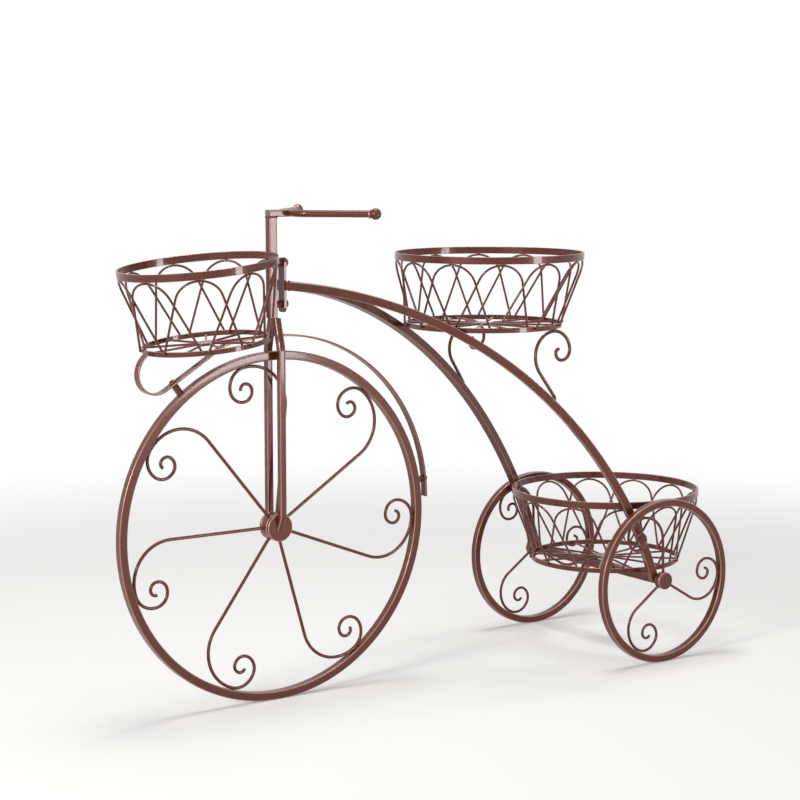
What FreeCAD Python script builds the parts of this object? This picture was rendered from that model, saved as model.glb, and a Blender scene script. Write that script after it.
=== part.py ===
import FreeCAD, Part
import math
import os
from collections import namedtuple

V = FreeCAD.Vector

# A plant stand in the shape of a tricycle, in millimetres: +X to the rear, +Z up, left is -Y.
# It is built around a front hub above X = 0. The finished pieces are then moved along X, so that
# the origin is on the floor, under the middle of the length.

# Fits
seam = 0.1
running_fit = 0.05
side_play = 0.3
overrun = 40.0
search_step = 4.0
search_halvings = 10

# Front wheel
front_wheel_radius = 200.0
front_rim_bar = 10.0
front_hub_radius = 16.0
front_hub_length = 20.0
front_spoke_count = 7
front_spoke_wire = 3.8
front_spoke_bend = 45.0
front_scroll_radius = 22.0
front_spoke_angle = -23.4
front_spoke_shifts = (2.2, 4.5, 4.8, -1.5, -2.4, -0.3, 0.8)

# Rear wheels
rear_wheel_radius = 100.7
rear_rim_bar = 9.0
rear_hub_radius = 10.5
rear_hub_length = 8.0
rear_cap_thickness = 1.5
rear_spoke_count = 3
rear_spoke_wire = 3.4
rear_spoke_bend = 30.0
rear_scroll_radius = 20.0
rear_spoke_angle = -28.0
rear_spoke_shifts = (-2.5, 0.0, 3.0)
wheelbase = 475.2
rear_track = 252.0

# Scrolls of all the spokes
scroll_decay_share = 0.72
scroll_quarters = 5
rim_corner = 1.4
hub_rounding = 0.8

# Rear axle
axle_bar = 10.0
axle_corner = 0.8
axle_pin_radius = 3.5
axle_clip_radius = 5.5
axle_clip_thickness = 1.0
hub_recess_radius = 7.0
hub_recess_depth = 3.5

# Fork, steerer, stem and handlebar
fork_bar = 8.0
fork_corner = 1.6
fork_drop = 6.0
fork_clearance = 2.0
fork_bend_radius = 30.0
fork_top_spread = 4.5
fork_crown_rise = 35.0
steerer_bar = 10.0
steerer_wall = 1.2
steerer_corner = 1.2
steerer_lead = 3.0
steerer_height = 112.5
stem_height = 8.0
stem_corner = 1.5
handlebar_rod = 8.0
handlebar_setback = 20.0
handlebar_centre = 20.0
handlebar_bend = 25.0
handlebar_sweep = 46.0
handlebar_grip = 76.0
handlebar_ball_radius = 6.5

# Head plate and its screws
head_gap = 7.5
head_plate_thickness = 3.0
head_plate_width = 13.0
head_plate_lift = 6.0
head_plate_height = 61.0
head_plate_corner = 5.0
head_screw_lower_inset = 9.4
head_screw_upper_inset = 5.5
head_screw_radius = 2.0
head_screw_head_radius = 6.0
head_screw_head_height = 5.5
head_screw_rounding = 3.4
head_screw_end = 4.0
head_nut_flats = 8.0

# Frame bars
frame_bar = 10.0
frame_wall = 1.2
frame_corner = 1.0
frame_head_lift = 30.3
frame_head_spread = 5.6
frame_rear_inset = 11.5
frame_bow = 90.8
frame_lean = 5.0

# Mudguard and the bolts on the front rim
mudguard_width = 10.0
mudguard_thickness = 2.2
mudguard_corner = 0.6
mudguard_end_gap = 7.0
mudguard_end_angle = 4.0
mudguard_bow = 61.0
mudguard_bolt_angle = 10.0
support_bolt_angle = 127.0
rim_bolt_radius = 2.0
rim_bolt_grip = 6.0
rim_bolt_head_radius = 4.2
rim_bolt_head_height = 3.0
rim_bolt_rounding = 2.0
rim_nut_flats = 7.0

# Basket hoops and wires, common to the three baskets
hoop_thickness = 2.4
hoop_corner = 0.5
basket_wire = 2.6
arch_play = 0.6
foot_lap = 1.5
foot_inset = 4.0
crown_share = 0.62
grid_disc_radius = 11.0
grid_disc_height = 3.4

# Front basket
front_basket_radius = 88.8
front_basket_base_radius = 71.0
front_basket_height = 92.0
front_basket_hoop = 8.5
front_basket_base_hoop = 5.6
front_basket_arches = 9
front_basket_tilt = 6.0
front_basket_drop = 1.7

# Support scroll under the front basket
support_width = 10.0
support_thickness = 2.2
support_corner = 0.6
support_start_heading = 213.4
support_curl = 27.3
support_curl_turn = 56.6
support_foot_curl = 21.5
support_foot_turn = 121.3
support_rise_bend = 50.0

# Top basket
top_basket_radius = 113.5
top_basket_base_radius = 93.6
top_basket_height = 89.0
top_basket_hoop = 8.5
top_basket_base_hoop = 6.0
top_basket_arches = 12
top_basket_setback = 8.0
top_basket_place = 294.0

# Scroll brackets under the top basket
bracket_wire = 4.0
bracket_bar_share = 0.575
bracket_heading = 124.0
bracket_bend = 31.0
bracket_scroll_radius = 21.5
bracket_decay_share = 0.62
bracket_quarters = 4

# Rear basket
rear_basket_radius = 117.5
rear_basket_base_radius = 93.0
rear_basket_height = 92.5
rear_basket_hoop = 8.5
rear_basket_base_hoop = 6.0
rear_basket_arches = 12

# Places worked out from the sizes above
right_angle = 90.0
full_turn = 360.0
tilt_probe = 0.5
across_x = V(1, 0, 0)
across_y = V(0, 1, 0)
upward = V(0, 0, 1)
sides = {"left": -1, "right": 1}
front_hub_centre = V(0, 0, front_wheel_radius)
rear_axle_centre = V(wheelbase, 0, rear_wheel_radius)
fork_bend_height = 2 * front_wheel_radius + fork_clearance
steerer_bottom = fork_bend_height + fork_crown_rise
steerer_top = steerer_bottom + steerer_height
steerer_x = -steerer_lead
steerer_front = steerer_x - steerer_bar / 2
steerer_rear = steerer_x + steerer_bar / 2
plate_front = steerer_rear + head_gap
plate_rear = plate_front + head_plate_thickness
head_plate_bottom = steerer_bottom + head_plate_lift
head_plate_top = head_plate_bottom + head_plate_height
head_screw_heights = (head_plate_bottom + head_screw_lower_inset, head_plate_top - head_screw_upper_inset)
frame_head_height = head_plate_bottom + frame_head_lift
frame_rear_spread = rear_track / 2 - frame_rear_inset
front_basket_top = head_plate_top - front_basket_drop

parts = {}


class Path:
    """Lines and tangent arcs on one plane, each starting where the last one ends."""

    def __init__(self, origin, across, up, start, heading=0.0):
        self.origin = origin
        self.across = across
        self.up = up
        self.at = start
        self.heading = heading
        self.edges = []

    def spot(self, place):
        return self.origin + self.across * place[0] + self.up * place[1]

    def toward(self, place, angle, distance):
        turned = math.radians(angle)
        return (place[0] + distance * math.cos(turned), place[1] + distance * math.sin(turned))

    def line(self, length):
        end = self.toward(self.at, self.heading, length)
        self.edges.append(Part.LineSegment(self.spot(self.at), self.spot(end)).toShape())
        self.at = end

    def arc(self, radius, turn):
        """Turn by some degrees, to the left when positive."""
        side = math.copysign(right_angle, turn)
        centre = self.toward(self.at, self.heading + side, radius)
        middle = self.toward(centre, self.heading + turn / 2 - side, radius)
        end = self.toward(centre, self.heading + turn - side, radius)
        self.edges.append(Part.Arc(self.spot(self.at), self.spot(middle), self.spot(end)).toShape())
        self.at = end
        self.heading += turn

    def bow_to(self, end, rise):
        """Arc to a place that stands proud of the straight line by a rise, on its left."""
        run = (end[0] - self.at[0], end[1] - self.at[1])
        chord = math.hypot(*run)
        half_turn = 2 * math.atan2(2 * rise, chord)
        self.heading = math.degrees(math.atan2(run[1], run[0]) + half_turn)
        self.arc(chord / (2 * math.sin(half_turn)), -2 * math.degrees(half_turn))

    def curl(self, radius, decay_share, quarters, turn):
        """Quarter turns that tighten into a scroll."""
        for quarter in range(quarters):
            self.arc(radius * decay_share ** quarter, turn)

    def wire(self):
        return Part.Wire(self.edges)

    def start(self):
        """First point of the path, and its direction there."""
        edge = self.edges[0]
        return edge.valueAt(edge.FirstParameter), edge.tangentAt(edge.FirstParameter)


def rounded_rectangle(centre, first, second, first_size, second_size, corner):
    """Closed wire of a rectangle with round corners, along two directions."""
    signs = ((1, 1), (-1, 1), (-1, -1), (1, -1))
    arcs = []
    for quarter, (first_sign, second_sign) in enumerate(signs):
        middle = centre + first * (first_sign * (first_size / 2 - corner))
        middle = middle + second * (second_sign * (second_size / 2 - corner))
        points = []
        for half in range(3):
            angle = math.radians(right_angle * (quarter + half / 2))
            points.append(middle + (first * math.cos(angle) + second * math.sin(angle)) * corner)
        arcs.append(points)
    edges = []
    for points, following in zip(arcs, arcs[1:] + arcs[:1]):
        edges.append(Part.Arc(*points).toShape())
        edges.append(Part.LineSegment(points[-1], following[0]).toShape())
    return Part.Wire(edges)


def sweep(path, profile):
    """Solid of a profile carried along a path."""
    pipe = Part.BRepOffsetAPI.MakePipeShell(path.wire())
    pipe.setBiNormalMode(path.across.cross(path.up))
    pipe.add(profile)
    pipe.build()
    pipe.makeSolid()
    return pipe.shape()


def round_bar(path, diameter):
    """Wire or rod along a path."""
    start, direction = path.start()
    return sweep(path, Part.Wire([Part.Circle(start, direction, diameter / 2).toShape()]))


def flat_bar(path, depth, width, corner):
    """Square bar or strip along a path: depth in the path's plane, width across it."""
    start, direction = path.start()
    normal = path.across.cross(path.up)
    return sweep(path, rounded_rectangle(start, normal.cross(direction), normal, depth, width, corner))


def hoop(centre, axis, radial, outer_radius, depth, width, corner):
    """Ring of a rounded rectangle, turned about an axis."""
    middle = centre + radial * (outer_radius - depth / 2)
    profile = rounded_rectangle(middle, radial, axis, depth, width, corner)
    return Part.Face(profile).revolve(centre, axis, full_turn)


def drum(start, axis, radius, length, rounding):
    """Cylinder with rounded rims at both ends."""
    cylinder = Part.makeCylinder(radius, length, start, axis)
    rims = [edge for edge in cylinder.Edges if isinstance(edge.Curve, Part.Circle)]
    return cylinder.makeFillet(rounding, rims)


def bolt(seat, axis, head_radius, head_height, rounding, shank_radius, shank_length):
    """Dome-head bolt: the head stands on its seat along the axis, the shank runs the other way."""
    cylinder = Part.makeCylinder(head_radius, head_height, seat, axis)
    rims = [edge for edge in cylinder.Edges if isinstance(edge.Curve, Part.Circle)]
    top = max(rims, key=lambda edge: edge.Curve.Center.dot(axis))
    shank = Part.makeCylinder(shank_radius, shank_length, seat, axis * -1)
    return cylinder.makeFillet(rounding, [top]).fuse(shank)


def hex_nut(start, axis, side, flats, length, bore_radius):
    """Hexagonal spacer nut with a bore."""
    other = axis.cross(side)
    corner = flats / math.sqrt(3)
    points = []
    for count in range(7):
        angle = math.radians(full_turn * count / 6)
        points.append(start + (side * math.cos(angle) + other * math.sin(angle)) * corner)
    prism = Part.Face(Part.makePolygon(points)).extrude(axis * length)
    return prism.cut(Part.makeCylinder(bore_radius, length, start, axis))


def largest(shape):
    """The largest solid of a shape that was cut."""
    return max(shape.Solids, key=lambda solid: solid.Volume)


def wheel_ray(angle):
    """Direction in a wheel's plane, in degrees from the rear upwards."""
    turned = math.radians(angle)
    return V(math.cos(turned), 0, math.sin(turned))


def spoke_angle(first, shifts, spokes, count):
    """Angle of a spoke: an even share of the turn, and the shift that its hand-made place has."""
    return first + full_turn * count / spokes + shifts[count % len(shifts)]


def scroll_spoke(centre, angle, hub_radius, rim_inner_radius, wire, bend, scroll_radius):
    """Wire that runs straight out of a hub, bends to meet the rim from inside and curls up."""
    contact = rim_inner_radius - wire / 2 - seam
    straight = math.sqrt((contact - bend) ** 2 - bend ** 2)
    ray = wheel_ray(angle)
    path = Path(centre, across_x, upward, (hub_radius * ray.x, hub_radius * ray.z), angle)
    path.line(straight - hub_radius)
    path.arc(bend, right_angle + math.degrees(math.atan2(bend, straight)))
    path.curl(scroll_radius, scroll_decay_share, scroll_quarters, right_angle)
    return round_bar(path, wire)


def travel_to_touch(piece, support, direction):
    """How far a piece moves from clear of its support until it all but touches it."""
    travel = 0.0
    while piece.translated(direction * (travel + search_step)).distToShape(support)[0] > seam:
        travel += search_step
    step = search_step
    for halving in range(search_halvings):
        step /= 2
        if piece.translated(direction * (travel + step)).distToShape(support)[0] > seam:
            travel += step
    return travel


# Front wheel: rim, hub and seven scrolled spokes

front_rim_inner = front_wheel_radius - front_rim_bar
front_rim = hoop(front_hub_centre, across_y, across_x, front_wheel_radius, front_rim_bar, front_rim_bar,
                 rim_corner)
hub_start = front_hub_centre - across_y * (front_hub_length / 2)
parts["front_hub"] = drum(hub_start, across_y, front_hub_radius, front_hub_length, hub_rounding)
for count in range(front_spoke_count):
    parts[f"front_spoke_{count + 1}"] = scroll_spoke(
        front_hub_centre, spoke_angle(front_spoke_angle, front_spoke_shifts, front_spoke_count, count),
        front_hub_radius, front_rim_inner, front_spoke_wire, front_spoke_bend, front_scroll_radius)

# Fork blades: upright beside the hub, leaning together under the steerer

fork_spread = (front_hub_length + fork_bar) / 2
fork_rise = steerer_bottom - fork_bend_height
fork_lean = math.degrees(math.atan2(fork_spread - fork_top_spread, fork_rise))
fork_bend_reach = fork_bend_radius * math.tan(math.radians(fork_lean / 2))
above_fork = Part.makeBox(2 * overrun, 2 * overrun, overrun,
                          V(-overrun, -overrun, steerer_bottom))
for side, sign in sides.items():
    foot = front_wheel_radius - fork_drop
    blade = Path(V(0, 0, 0), across_y * sign, upward, (fork_spread, foot), right_angle)
    blade.line(fork_bend_height - fork_bend_reach - foot)
    blade.arc(fork_bend_radius, fork_lean)
    blade.line(fork_rise / math.cos(math.radians(fork_lean)) + fork_bar)
    parts[f"fork_blade_{side}"] = largest(flat_bar(blade, fork_bar, fork_bar, fork_corner).cut(above_fork))

# Head: steerer tube, plate, screws and spacer nuts

steerer_foot = V(steerer_x, 0, steerer_bottom)
steerer_length = V(0, 0, steerer_top - steerer_bottom)
outside = rounded_rectangle(steerer_foot, across_x, across_y, steerer_bar, steerer_bar, steerer_corner)
bore_size = steerer_bar - 2 * steerer_wall
bore_corner = steerer_corner / 2
inside = rounded_rectangle(steerer_foot, across_x, across_y, bore_size, bore_size, bore_corner)
steerer = Part.Face(outside).extrude(steerer_length).cut(Part.Face(inside).extrude(steerer_length))
plate_middle = V(plate_front, 0, (head_plate_bottom + head_plate_top) / 2)
plate_outline = rounded_rectangle(plate_middle, across_y, upward, head_plate_width,
                                  head_plate_top - head_plate_bottom, head_plate_corner)
plate = Part.Face(plate_outline).extrude(across_x * head_plate_thickness)
head_screws = []
head_nuts = []
for height in head_screw_heights:
    seat = V(plate_rear, 0, height)
    reach = plate_rear - steerer_rear + head_screw_end
    head_screws.append(bolt(seat, across_x, head_screw_head_radius, head_screw_head_height,
                            head_screw_rounding, head_screw_radius, reach))
    hole = Part.makeCylinder(head_screw_radius + seam, reach + seam, seat, across_x * -1)
    plate = plate.cut(hole)
    steerer = steerer.cut(hole)
    head_nuts.append(hex_nut(V(steerer_rear, 0, height), across_x, across_y, head_nut_flats, head_gap,
                             head_screw_radius + seam))
parts["steerer_tube"] = steerer
parts["head_plate"] = plate
parts["head_screws"] = Part.makeCompound(head_screws)
parts["head_nuts"] = Part.makeCompound(head_nuts)

# Stem and swept-back handlebar with ball ends

handlebar_middle = V(handlebar_setback, 0, steerer_top + stem_height / 2)
sweep_angle = math.radians(handlebar_sweep)
bar_end = (-handlebar_centre / 2 - handlebar_bend * math.sin(sweep_angle)
           - handlebar_grip * math.cos(sweep_angle),
           handlebar_bend * (1 - math.cos(sweep_angle)) + handlebar_grip * math.sin(sweep_angle))
bars = Path(handlebar_middle, across_y, across_x, bar_end, -handlebar_sweep)
bars.line(handlebar_grip)
bars.arc(handlebar_bend, handlebar_sweep)
bars.line(handlebar_centre)
bars.arc(handlebar_bend, handlebar_sweep)
bars.line(handlebar_grip)
handlebar = round_bar(bars, handlebar_rod)
parts["handlebar"] = handlebar
balls = []
for sign in sides.values():
    centre = handlebar_middle + across_y * (sign * bar_end[0]) + across_x * bar_end[1]
    balls.append(Part.makeSphere(handlebar_ball_radius, centre).cut(handlebar))
parts["handlebar_balls"] = Part.makeCompound(balls)
stem_start = V(steerer_front, 0, handlebar_middle.z)
stem_face = rounded_rectangle(stem_start, across_y, upward, steerer_bar, stem_height, stem_corner)
stem = Part.Face(stem_face).extrude(across_x * (handlebar_middle.x - steerer_front))
parts["stem"] = largest(stem.cut(handlebar))

# Rear axle: a square bar with turned ends, and a clip on each end

hub_inner = (rear_track - rear_hub_length - rear_cap_thickness) / 2
axle_half = hub_inner - side_play
clip_start = hub_inner + rear_hub_length - hub_recess_depth + side_play
pin_end = clip_start + 2 * axle_clip_thickness
axle_face = rounded_rectangle(rear_axle_centre - across_y * axle_half, across_x, upward, axle_bar, axle_bar,
                              axle_corner)
axle = Part.Face(axle_face).extrude(across_y * (2 * axle_half))
axle = axle.fuse(Part.makeCylinder(axle_pin_radius, 2 * pin_end, rear_axle_centre - across_y * pin_end,
                                   across_y))
parts["rear_axle"] = axle
clips = []
for sign in sides.values():
    clip_place = rear_axle_centre + across_y * (sign * clip_start)
    washer = Part.makeCylinder(axle_clip_radius, axle_clip_thickness, clip_place, across_y * sign)
    bore = Part.makeCylinder(axle_pin_radius + running_fit, axle_clip_thickness, clip_place, across_y * sign)
    clips.append(washer.cut(bore))
parts["axle_clips"] = Part.makeCompound(clips)

# Rear wheels: rim, hub with a bore and a recess, cap and three scrolled spokes

rear_rim_inner = rear_wheel_radius - rear_rim_bar
for side, sign in sides.items():
    outward = across_y * sign
    middle = rear_axle_centre + outward * (rear_track / 2)
    inner_face = rear_axle_centre + outward * hub_inner
    outer_face = inner_face + outward * rear_hub_length
    parts[f"rear_rim_{side}"] = hoop(middle, across_y, across_x, rear_wheel_radius, rear_rim_bar,
                                     rear_rim_bar, rim_corner)
    hub = drum(inner_face, outward, rear_hub_radius, rear_hub_length, hub_rounding)
    hub = hub.cut(Part.makeCylinder(axle_pin_radius + running_fit, rear_hub_length, inner_face, outward))
    recess = Part.makeCylinder(hub_recess_radius, hub_recess_depth, outer_face, outward * -1)
    parts[f"rear_hub_{side}"] = hub.cut(recess)
    parts[f"rear_hub_cap_{side}"] = drum(outer_face, outward, rear_hub_radius, rear_cap_thickness,
                                         hub_rounding / 2)
    for count in range(rear_spoke_count):
        parts[f"rear_spoke_{side}_{count + 1}"] = scroll_spoke(
            middle, spoke_angle(rear_spoke_angle, rear_spoke_shifts, rear_spoke_count, count),
            rear_hub_radius, rear_rim_inner, rear_spoke_wire, rear_spoke_bend, rear_scroll_radius)

# Frame bars: square tubes on one arc each, notched over the axle and square on the head plate

frame_head = V(plate_rear - frame_bar / 2, frame_head_spread, frame_head_height)
frame_rear = V(wheelbase - axle_bar / 2, frame_rear_spread, rear_wheel_radius)
before_plate = Part.makeBox(overrun, 2 * overrun, 2 * overrun,
                            V(plate_rear - overrun, -overrun, frame_head_height - overrun))
frame_paths = {}
for side, sign in sides.items():
    head = V(frame_head.x, sign * frame_head.y, frame_head.z)
    chord = V(frame_rear.x, sign * frame_rear.y, frame_rear.z) - head
    along = V(chord).normalize()
    over = (upward - along * upward.dot(along)).normalize()
    outward = along.cross(over) * sign * -1
    lean = math.radians(frame_lean)
    path = Path(head, along, over * math.cos(lean) + outward * math.sin(lean), (0, 0))
    path.bow_to((chord.Length, 0), frame_bow)
    tube = flat_bar(path, frame_bar, frame_bar, frame_corner)
    bore_size = frame_bar - 2 * frame_wall
    tube = tube.cut(flat_bar(path, bore_size, bore_size, frame_corner / 2))
    parts[f"frame_bar_{side}"] = largest(tube.cut(before_plate).cut(axle))
    frame_paths[side] = path
frame_bars = Part.makeCompound([parts[f"frame_bar_{side}"] for side in sides])

# Baskets: two hoops, interlaced arches between them and a grid of wires in the base

Basket = namedtuple("Basket", "radius base_radius height hoop base_hoop arches setback")


def tangent_leg(ahead, height, radius):
    """Climb in degrees, and length, of a leg that ends tangent to a circle ahead of it and above."""
    reach = math.hypot(ahead, height)
    climb = math.atan2(height, ahead) + math.asin(radius / reach)
    return math.degrees(climb), math.sqrt(reach ** 2 - radius ** 2)


def basket(sizes):
    """Pieces of a basket, with the base hoop on the ground around the origin."""
    base_middle = sizes.base_radius - hoop_thickness / 2
    apex_radius = sizes.radius - hoop_thickness
    pitch = full_turn / sizes.arches
    reach = pitch - math.degrees(foot_inset / base_middle)
    foot_height = sizes.base_hoop - foot_lap
    slope = (sizes.radius - sizes.base_radius) / sizes.height
    foot_offset = (hoop_thickness + basket_wire) / 2 + arch_play
    outer_foot = base_middle + foot_offset
    inner_foot = base_middle - foot_offset - foot_lap * slope
    apex_height = sizes.height - sizes.hoop - basket_wire / 2 - seam
    top_centre = V(sizes.setback, 0, sizes.height - sizes.hoop / 2)

    def around(radius, angle, height):
        turned = math.radians(angle)
        return V(radius * math.cos(turned), radius * math.sin(turned), height)

    arches = []
    for count in range(sizes.arches):
        angle = pitch * count
        first = around(outer_foot, angle - reach, foot_height)
        last = around(inner_foot, angle + reach, foot_height)
        apex = around(apex_radius, angle, apex_height) + V(sizes.setback, 0, 0)
        across = (last - first).normalize()
        ahead = (apex - first).dot(across)
        rise = apex - first - across * ahead
        width = (last - first).Length
        crown = crown_share * width / 2
        crown_height = rise.Length - crown
        climb, leg = tangent_leg(ahead, crown_height, crown)
        descent, last_leg = tangent_leg(width - ahead, crown_height, crown)
        path = Path(first, across, V(rise).normalize(), (0, 0), climb)
        path.line(leg)
        path.arc(crown, -climb - descent)
        path.line(last_leg)
        arches.append(round_bar(path, basket_wire))
    grid_height = sizes.base_hoop / 2
    grid = drum(V(0, 0, grid_height - grid_disc_height / 2), upward, grid_disc_radius, grid_disc_height,
                hoop_corner)
    wire_end = sizes.base_radius - hoop_thickness - seam
    grid_wires = []
    for count in range(sizes.arches):
        ray = around(1, pitch * (count + 1 / 2), 0)
        start = ray * (grid_disc_radius / 2) + V(0, 0, grid_height)
        grid_wires.append(Part.makeCylinder(basket_wire / 2, wire_end - grid_disc_radius / 2, start, ray))
    return {
        "top_ring": hoop(top_centre, upward, across_x, sizes.radius, hoop_thickness, sizes.hoop,
                         hoop_corner),
        "base_ring": hoop(V(0, 0, sizes.base_hoop / 2), upward, across_x, sizes.base_radius, hoop_thickness,
                          sizes.base_hoop, hoop_corner),
        "arches": Part.makeCompound(arches),
        "base_grid": grid.fuse(grid_wires).removeSplitter(),
    }


def place_basket(name, pieces, move):
    """Put the pieces of a basket in their place and keep them under its name."""
    for piece, shape in pieces.items():
        parts[f"{name}_basket_{piece}"] = shape.translated(move)


# Front basket: tilted forward, its top hoop against the front of the steerer

front_sizes = Basket(front_basket_radius, front_basket_base_radius, front_basket_height, front_basket_hoop,
                     front_basket_base_hoop, front_basket_arches, 0)
tilt = FreeCAD.Rotation(across_y, -front_basket_tilt)
front_pieces = basket(front_sizes)
for shape in front_pieces.values():
    shape.Placement = FreeCAD.Placement(V(0, 0, 0), tilt)
hoop_rear = tilt.multVec(V(front_basket_radius, 0, front_basket_height - front_basket_hoop))
hoop_middle = tilt.multVec(V(0, 0, front_basket_height))
front_move = V(steerer_front - seam - hoop_rear.x, 0, front_basket_top - hoop_middle.z)
place_basket("front", front_pieces, front_move)

# Support scroll: from the front of the base hoop round a curl and back under its rear

hoop_front = tilt.multVec(V(-front_basket_base_radius - support_thickness, 0, front_basket_base_hoop / 2))
hoop_under = front_move + tilt.multVec(V(front_basket_base_radius, 0, -support_thickness / 2 - seam))
support = Path(V(0, 0, 0), across_x, upward, (front_move.x + hoop_front.x, front_move.z + hoop_front.z),
               support_start_heading)
support.arc(support_curl, support_curl_turn)
support.arc(support_foot_curl, support_foot_turn)
support_climb = math.radians(support.heading - full_turn - front_basket_tilt)
support_rise = (hoop_under - support.spot(support.at)).dot(tilt.multVec(upward))
support.line((support_rise - support_rise_bend * (1 - math.cos(support_climb))) / math.sin(support_climb))
support.arc(support_rise_bend, -math.degrees(support_climb))
support.line((hoop_under - support.spot(support.at)).dot(tilt.multVec(across_x)))
support_strip = flat_bar(support, support_thickness, support_width, support_corner)

# Mudguard: held between the fork blades, round the rear of the front wheel

lean_angle = math.radians(fork_lean)
strip_clearance = fork_spread - fork_bar / 2 / math.cos(lean_angle) - mudguard_width / 2 - seam
mudguard_top = fork_bend_height + strip_clearance / math.tan(lean_angle) - mudguard_thickness
mudguard_end = wheel_ray(mudguard_end_angle) * (front_wheel_radius + mudguard_end_gap)
mudguard = Path(front_hub_centre, across_x, upward, (0, mudguard_top - front_wheel_radius))
mudguard.bow_to((mudguard_end.x, mudguard_end.z), mudguard_bow)
mudguard_strip = flat_bar(mudguard, mudguard_thickness, mudguard_width, mudguard_corner)

# Bolts with spacer nuts that tie both strips to the front rim

rim_bolts = []
rim_nuts = []


def tie_to_rim(rim, strip, path, angle, thickness):
    """Bolt a strip to the rim along a wheel ray, and give back both with their holes."""
    ray = wheel_ray(angle)
    sight = Part.LineSegment(front_hub_centre, front_hub_centre + ray * (2 * front_wheel_radius)).toShape()
    crossing = sight.distToShape(path.wire())[1][0][0]
    strip_radius = (crossing - front_hub_centre).Length
    nearby = front_hub_centre + wheel_ray(angle + tilt_probe) * (2 * front_wheel_radius)
    beside = Part.LineSegment(front_hub_centre, nearby).toShape().distToShape(path.wire())[1][0][0]
    slant = abs((beside - crossing).normalize().dot(ray))
    seat_radius = strip_radius + thickness / 2 + seam + slant * rim_bolt_head_radius
    seat = front_hub_centre + ray * seat_radius
    reach = seat_radius - front_wheel_radius + rim_bolt_grip
    rim_bolts.append(bolt(seat, ray, rim_bolt_head_radius, rim_bolt_head_height, rim_bolt_rounding,
                          rim_bolt_radius, reach))
    nut_length = strip_radius - thickness / 2 - seam - slant * rim_nut_flats - front_wheel_radius
    print(f"strip slants {slant:.3f} at its bolt, {strip_radius:.1f} from the hub")
    rim_nuts.append(hex_nut(front_hub_centre + ray * front_wheel_radius, ray, across_y, rim_nut_flats,
                            nut_length, rim_bolt_radius + seam))
    hole = Part.makeCylinder(rim_bolt_radius + seam, reach + seam, seat, ray * -1)
    return rim.cut(hole), strip.cut(hole)


front_rim, mudguard_strip = tie_to_rim(front_rim, mudguard_strip, mudguard, mudguard_bolt_angle,
                                       mudguard_thickness)
front_rim, support_strip = tie_to_rim(front_rim, support_strip, support, support_bolt_angle,
                                      support_thickness)
parts["front_rim"] = front_rim
parts["mudguard"] = mudguard_strip
parts["basket_support_scroll"] = support_strip
parts["rim_bolts"] = Part.makeCompound(rim_bolts)
parts["rim_nuts"] = Part.makeCompound(rim_nuts)

# Top basket: lowered until its base hoop rests on the frame bars

top_sizes = Basket(top_basket_radius, top_basket_base_radius, top_basket_height, top_basket_hoop,
                   top_basket_base_hoop, top_basket_arches, top_basket_setback)
top_pieces = basket(top_sizes)
top_start = V(top_basket_place, 0, frame_head_height)
fall = travel_to_touch(top_pieces["base_ring"].translated(top_start), frame_bars, upward * -1)
top_move = top_start - upward * fall
place_basket("top", top_pieces, top_move)

# Scroll brackets: from the frame bars up to the base hoop of the top basket

for side, sign in sides.items():
    bar_edge = frame_paths[side].edges[0]
    bar_span = bar_edge.LastParameter - bar_edge.FirstParameter
    on_bar = bar_edge.valueAt(bar_edge.FirstParameter + bracket_bar_share * bar_span)
    out_of_bar = (on_bar - bar_edge.Curve.Center).normalize()
    foot = on_bar + out_of_bar * ((frame_bar + bracket_wire) / 2 + seam)
    rise = top_move.z - bracket_wire / 2 - seam - foot.z
    climb = math.radians(bracket_heading)
    run = (rise - bracket_bend * (1 - math.cos(climb))) / math.sin(climb)
    contact_x = foot.x + run * math.cos(climb) + bracket_bend * math.sin(climb) - top_move.x
    contact_y = math.sqrt((top_basket_base_radius - hoop_thickness / 2) ** 2 - contact_x ** 2)
    lean = math.atan2(abs(foot.y) - contact_y, rise)
    up = upward * math.cos(lean) - across_y * (sign * math.sin(lean))
    run = (rise / math.cos(lean) - bracket_bend * (1 - math.cos(climb))) / math.sin(climb)
    path = Path(foot, across_x, up, (0, 0), bracket_heading)
    path.line(run)
    path.arc(bracket_bend, -bracket_heading)
    path.curl(bracket_scroll_radius, bracket_decay_share, bracket_quarters, -right_angle)
    parts[f"top_bracket_{side}"] = round_bar(path, bracket_wire)

# Rear basket: stands on the axle, pushed forward against the frame bars

rear_sizes = Basket(rear_basket_radius, rear_basket_base_radius, rear_basket_height, rear_basket_hoop,
                    rear_basket_base_hoop, rear_basket_arches, 0)
rear_pieces = basket(rear_sizes)
rear_start = V(wheelbase + rear_wheel_radius, 0, rear_wheel_radius + axle_bar / 2)
forward = travel_to_touch(rear_pieces["top_ring"].translated(rear_start), frame_bars, across_x * -1)
rear_move = rear_start - across_x * forward
place_basket("rear", rear_pieces, rear_move)

# Origin under the middle of the length, from the front wheel to the rear basket

to_origin = across_x * ((front_wheel_radius - rear_move.x - rear_basket_radius) / 2)
os.makedirs("parts", exist_ok=True)
for name, shape in parts.items():
    shape.translated(to_origin).exportStep(f"parts/{name}.step")
    print(f"{name}: {len(shape.Solids)} solids, {shape.Volume:.1f} mm3, valid {shape.isValid()}")
print(f"front hub at X {to_origin.x:.2f}, rear axle at X {to_origin.x + wheelbase:.2f}")
print(f"top basket at {top_move}, rear basket at {rear_move}")
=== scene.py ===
"""Looks of a plant stand in the shape of a tricycle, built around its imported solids."""

import logging
import math
from dataclasses import dataclass
from enum import Enum
from typing import Any, Iterable, Sequence

import bmesh
import bpy
from mathutils import Matrix, Vector


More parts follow.
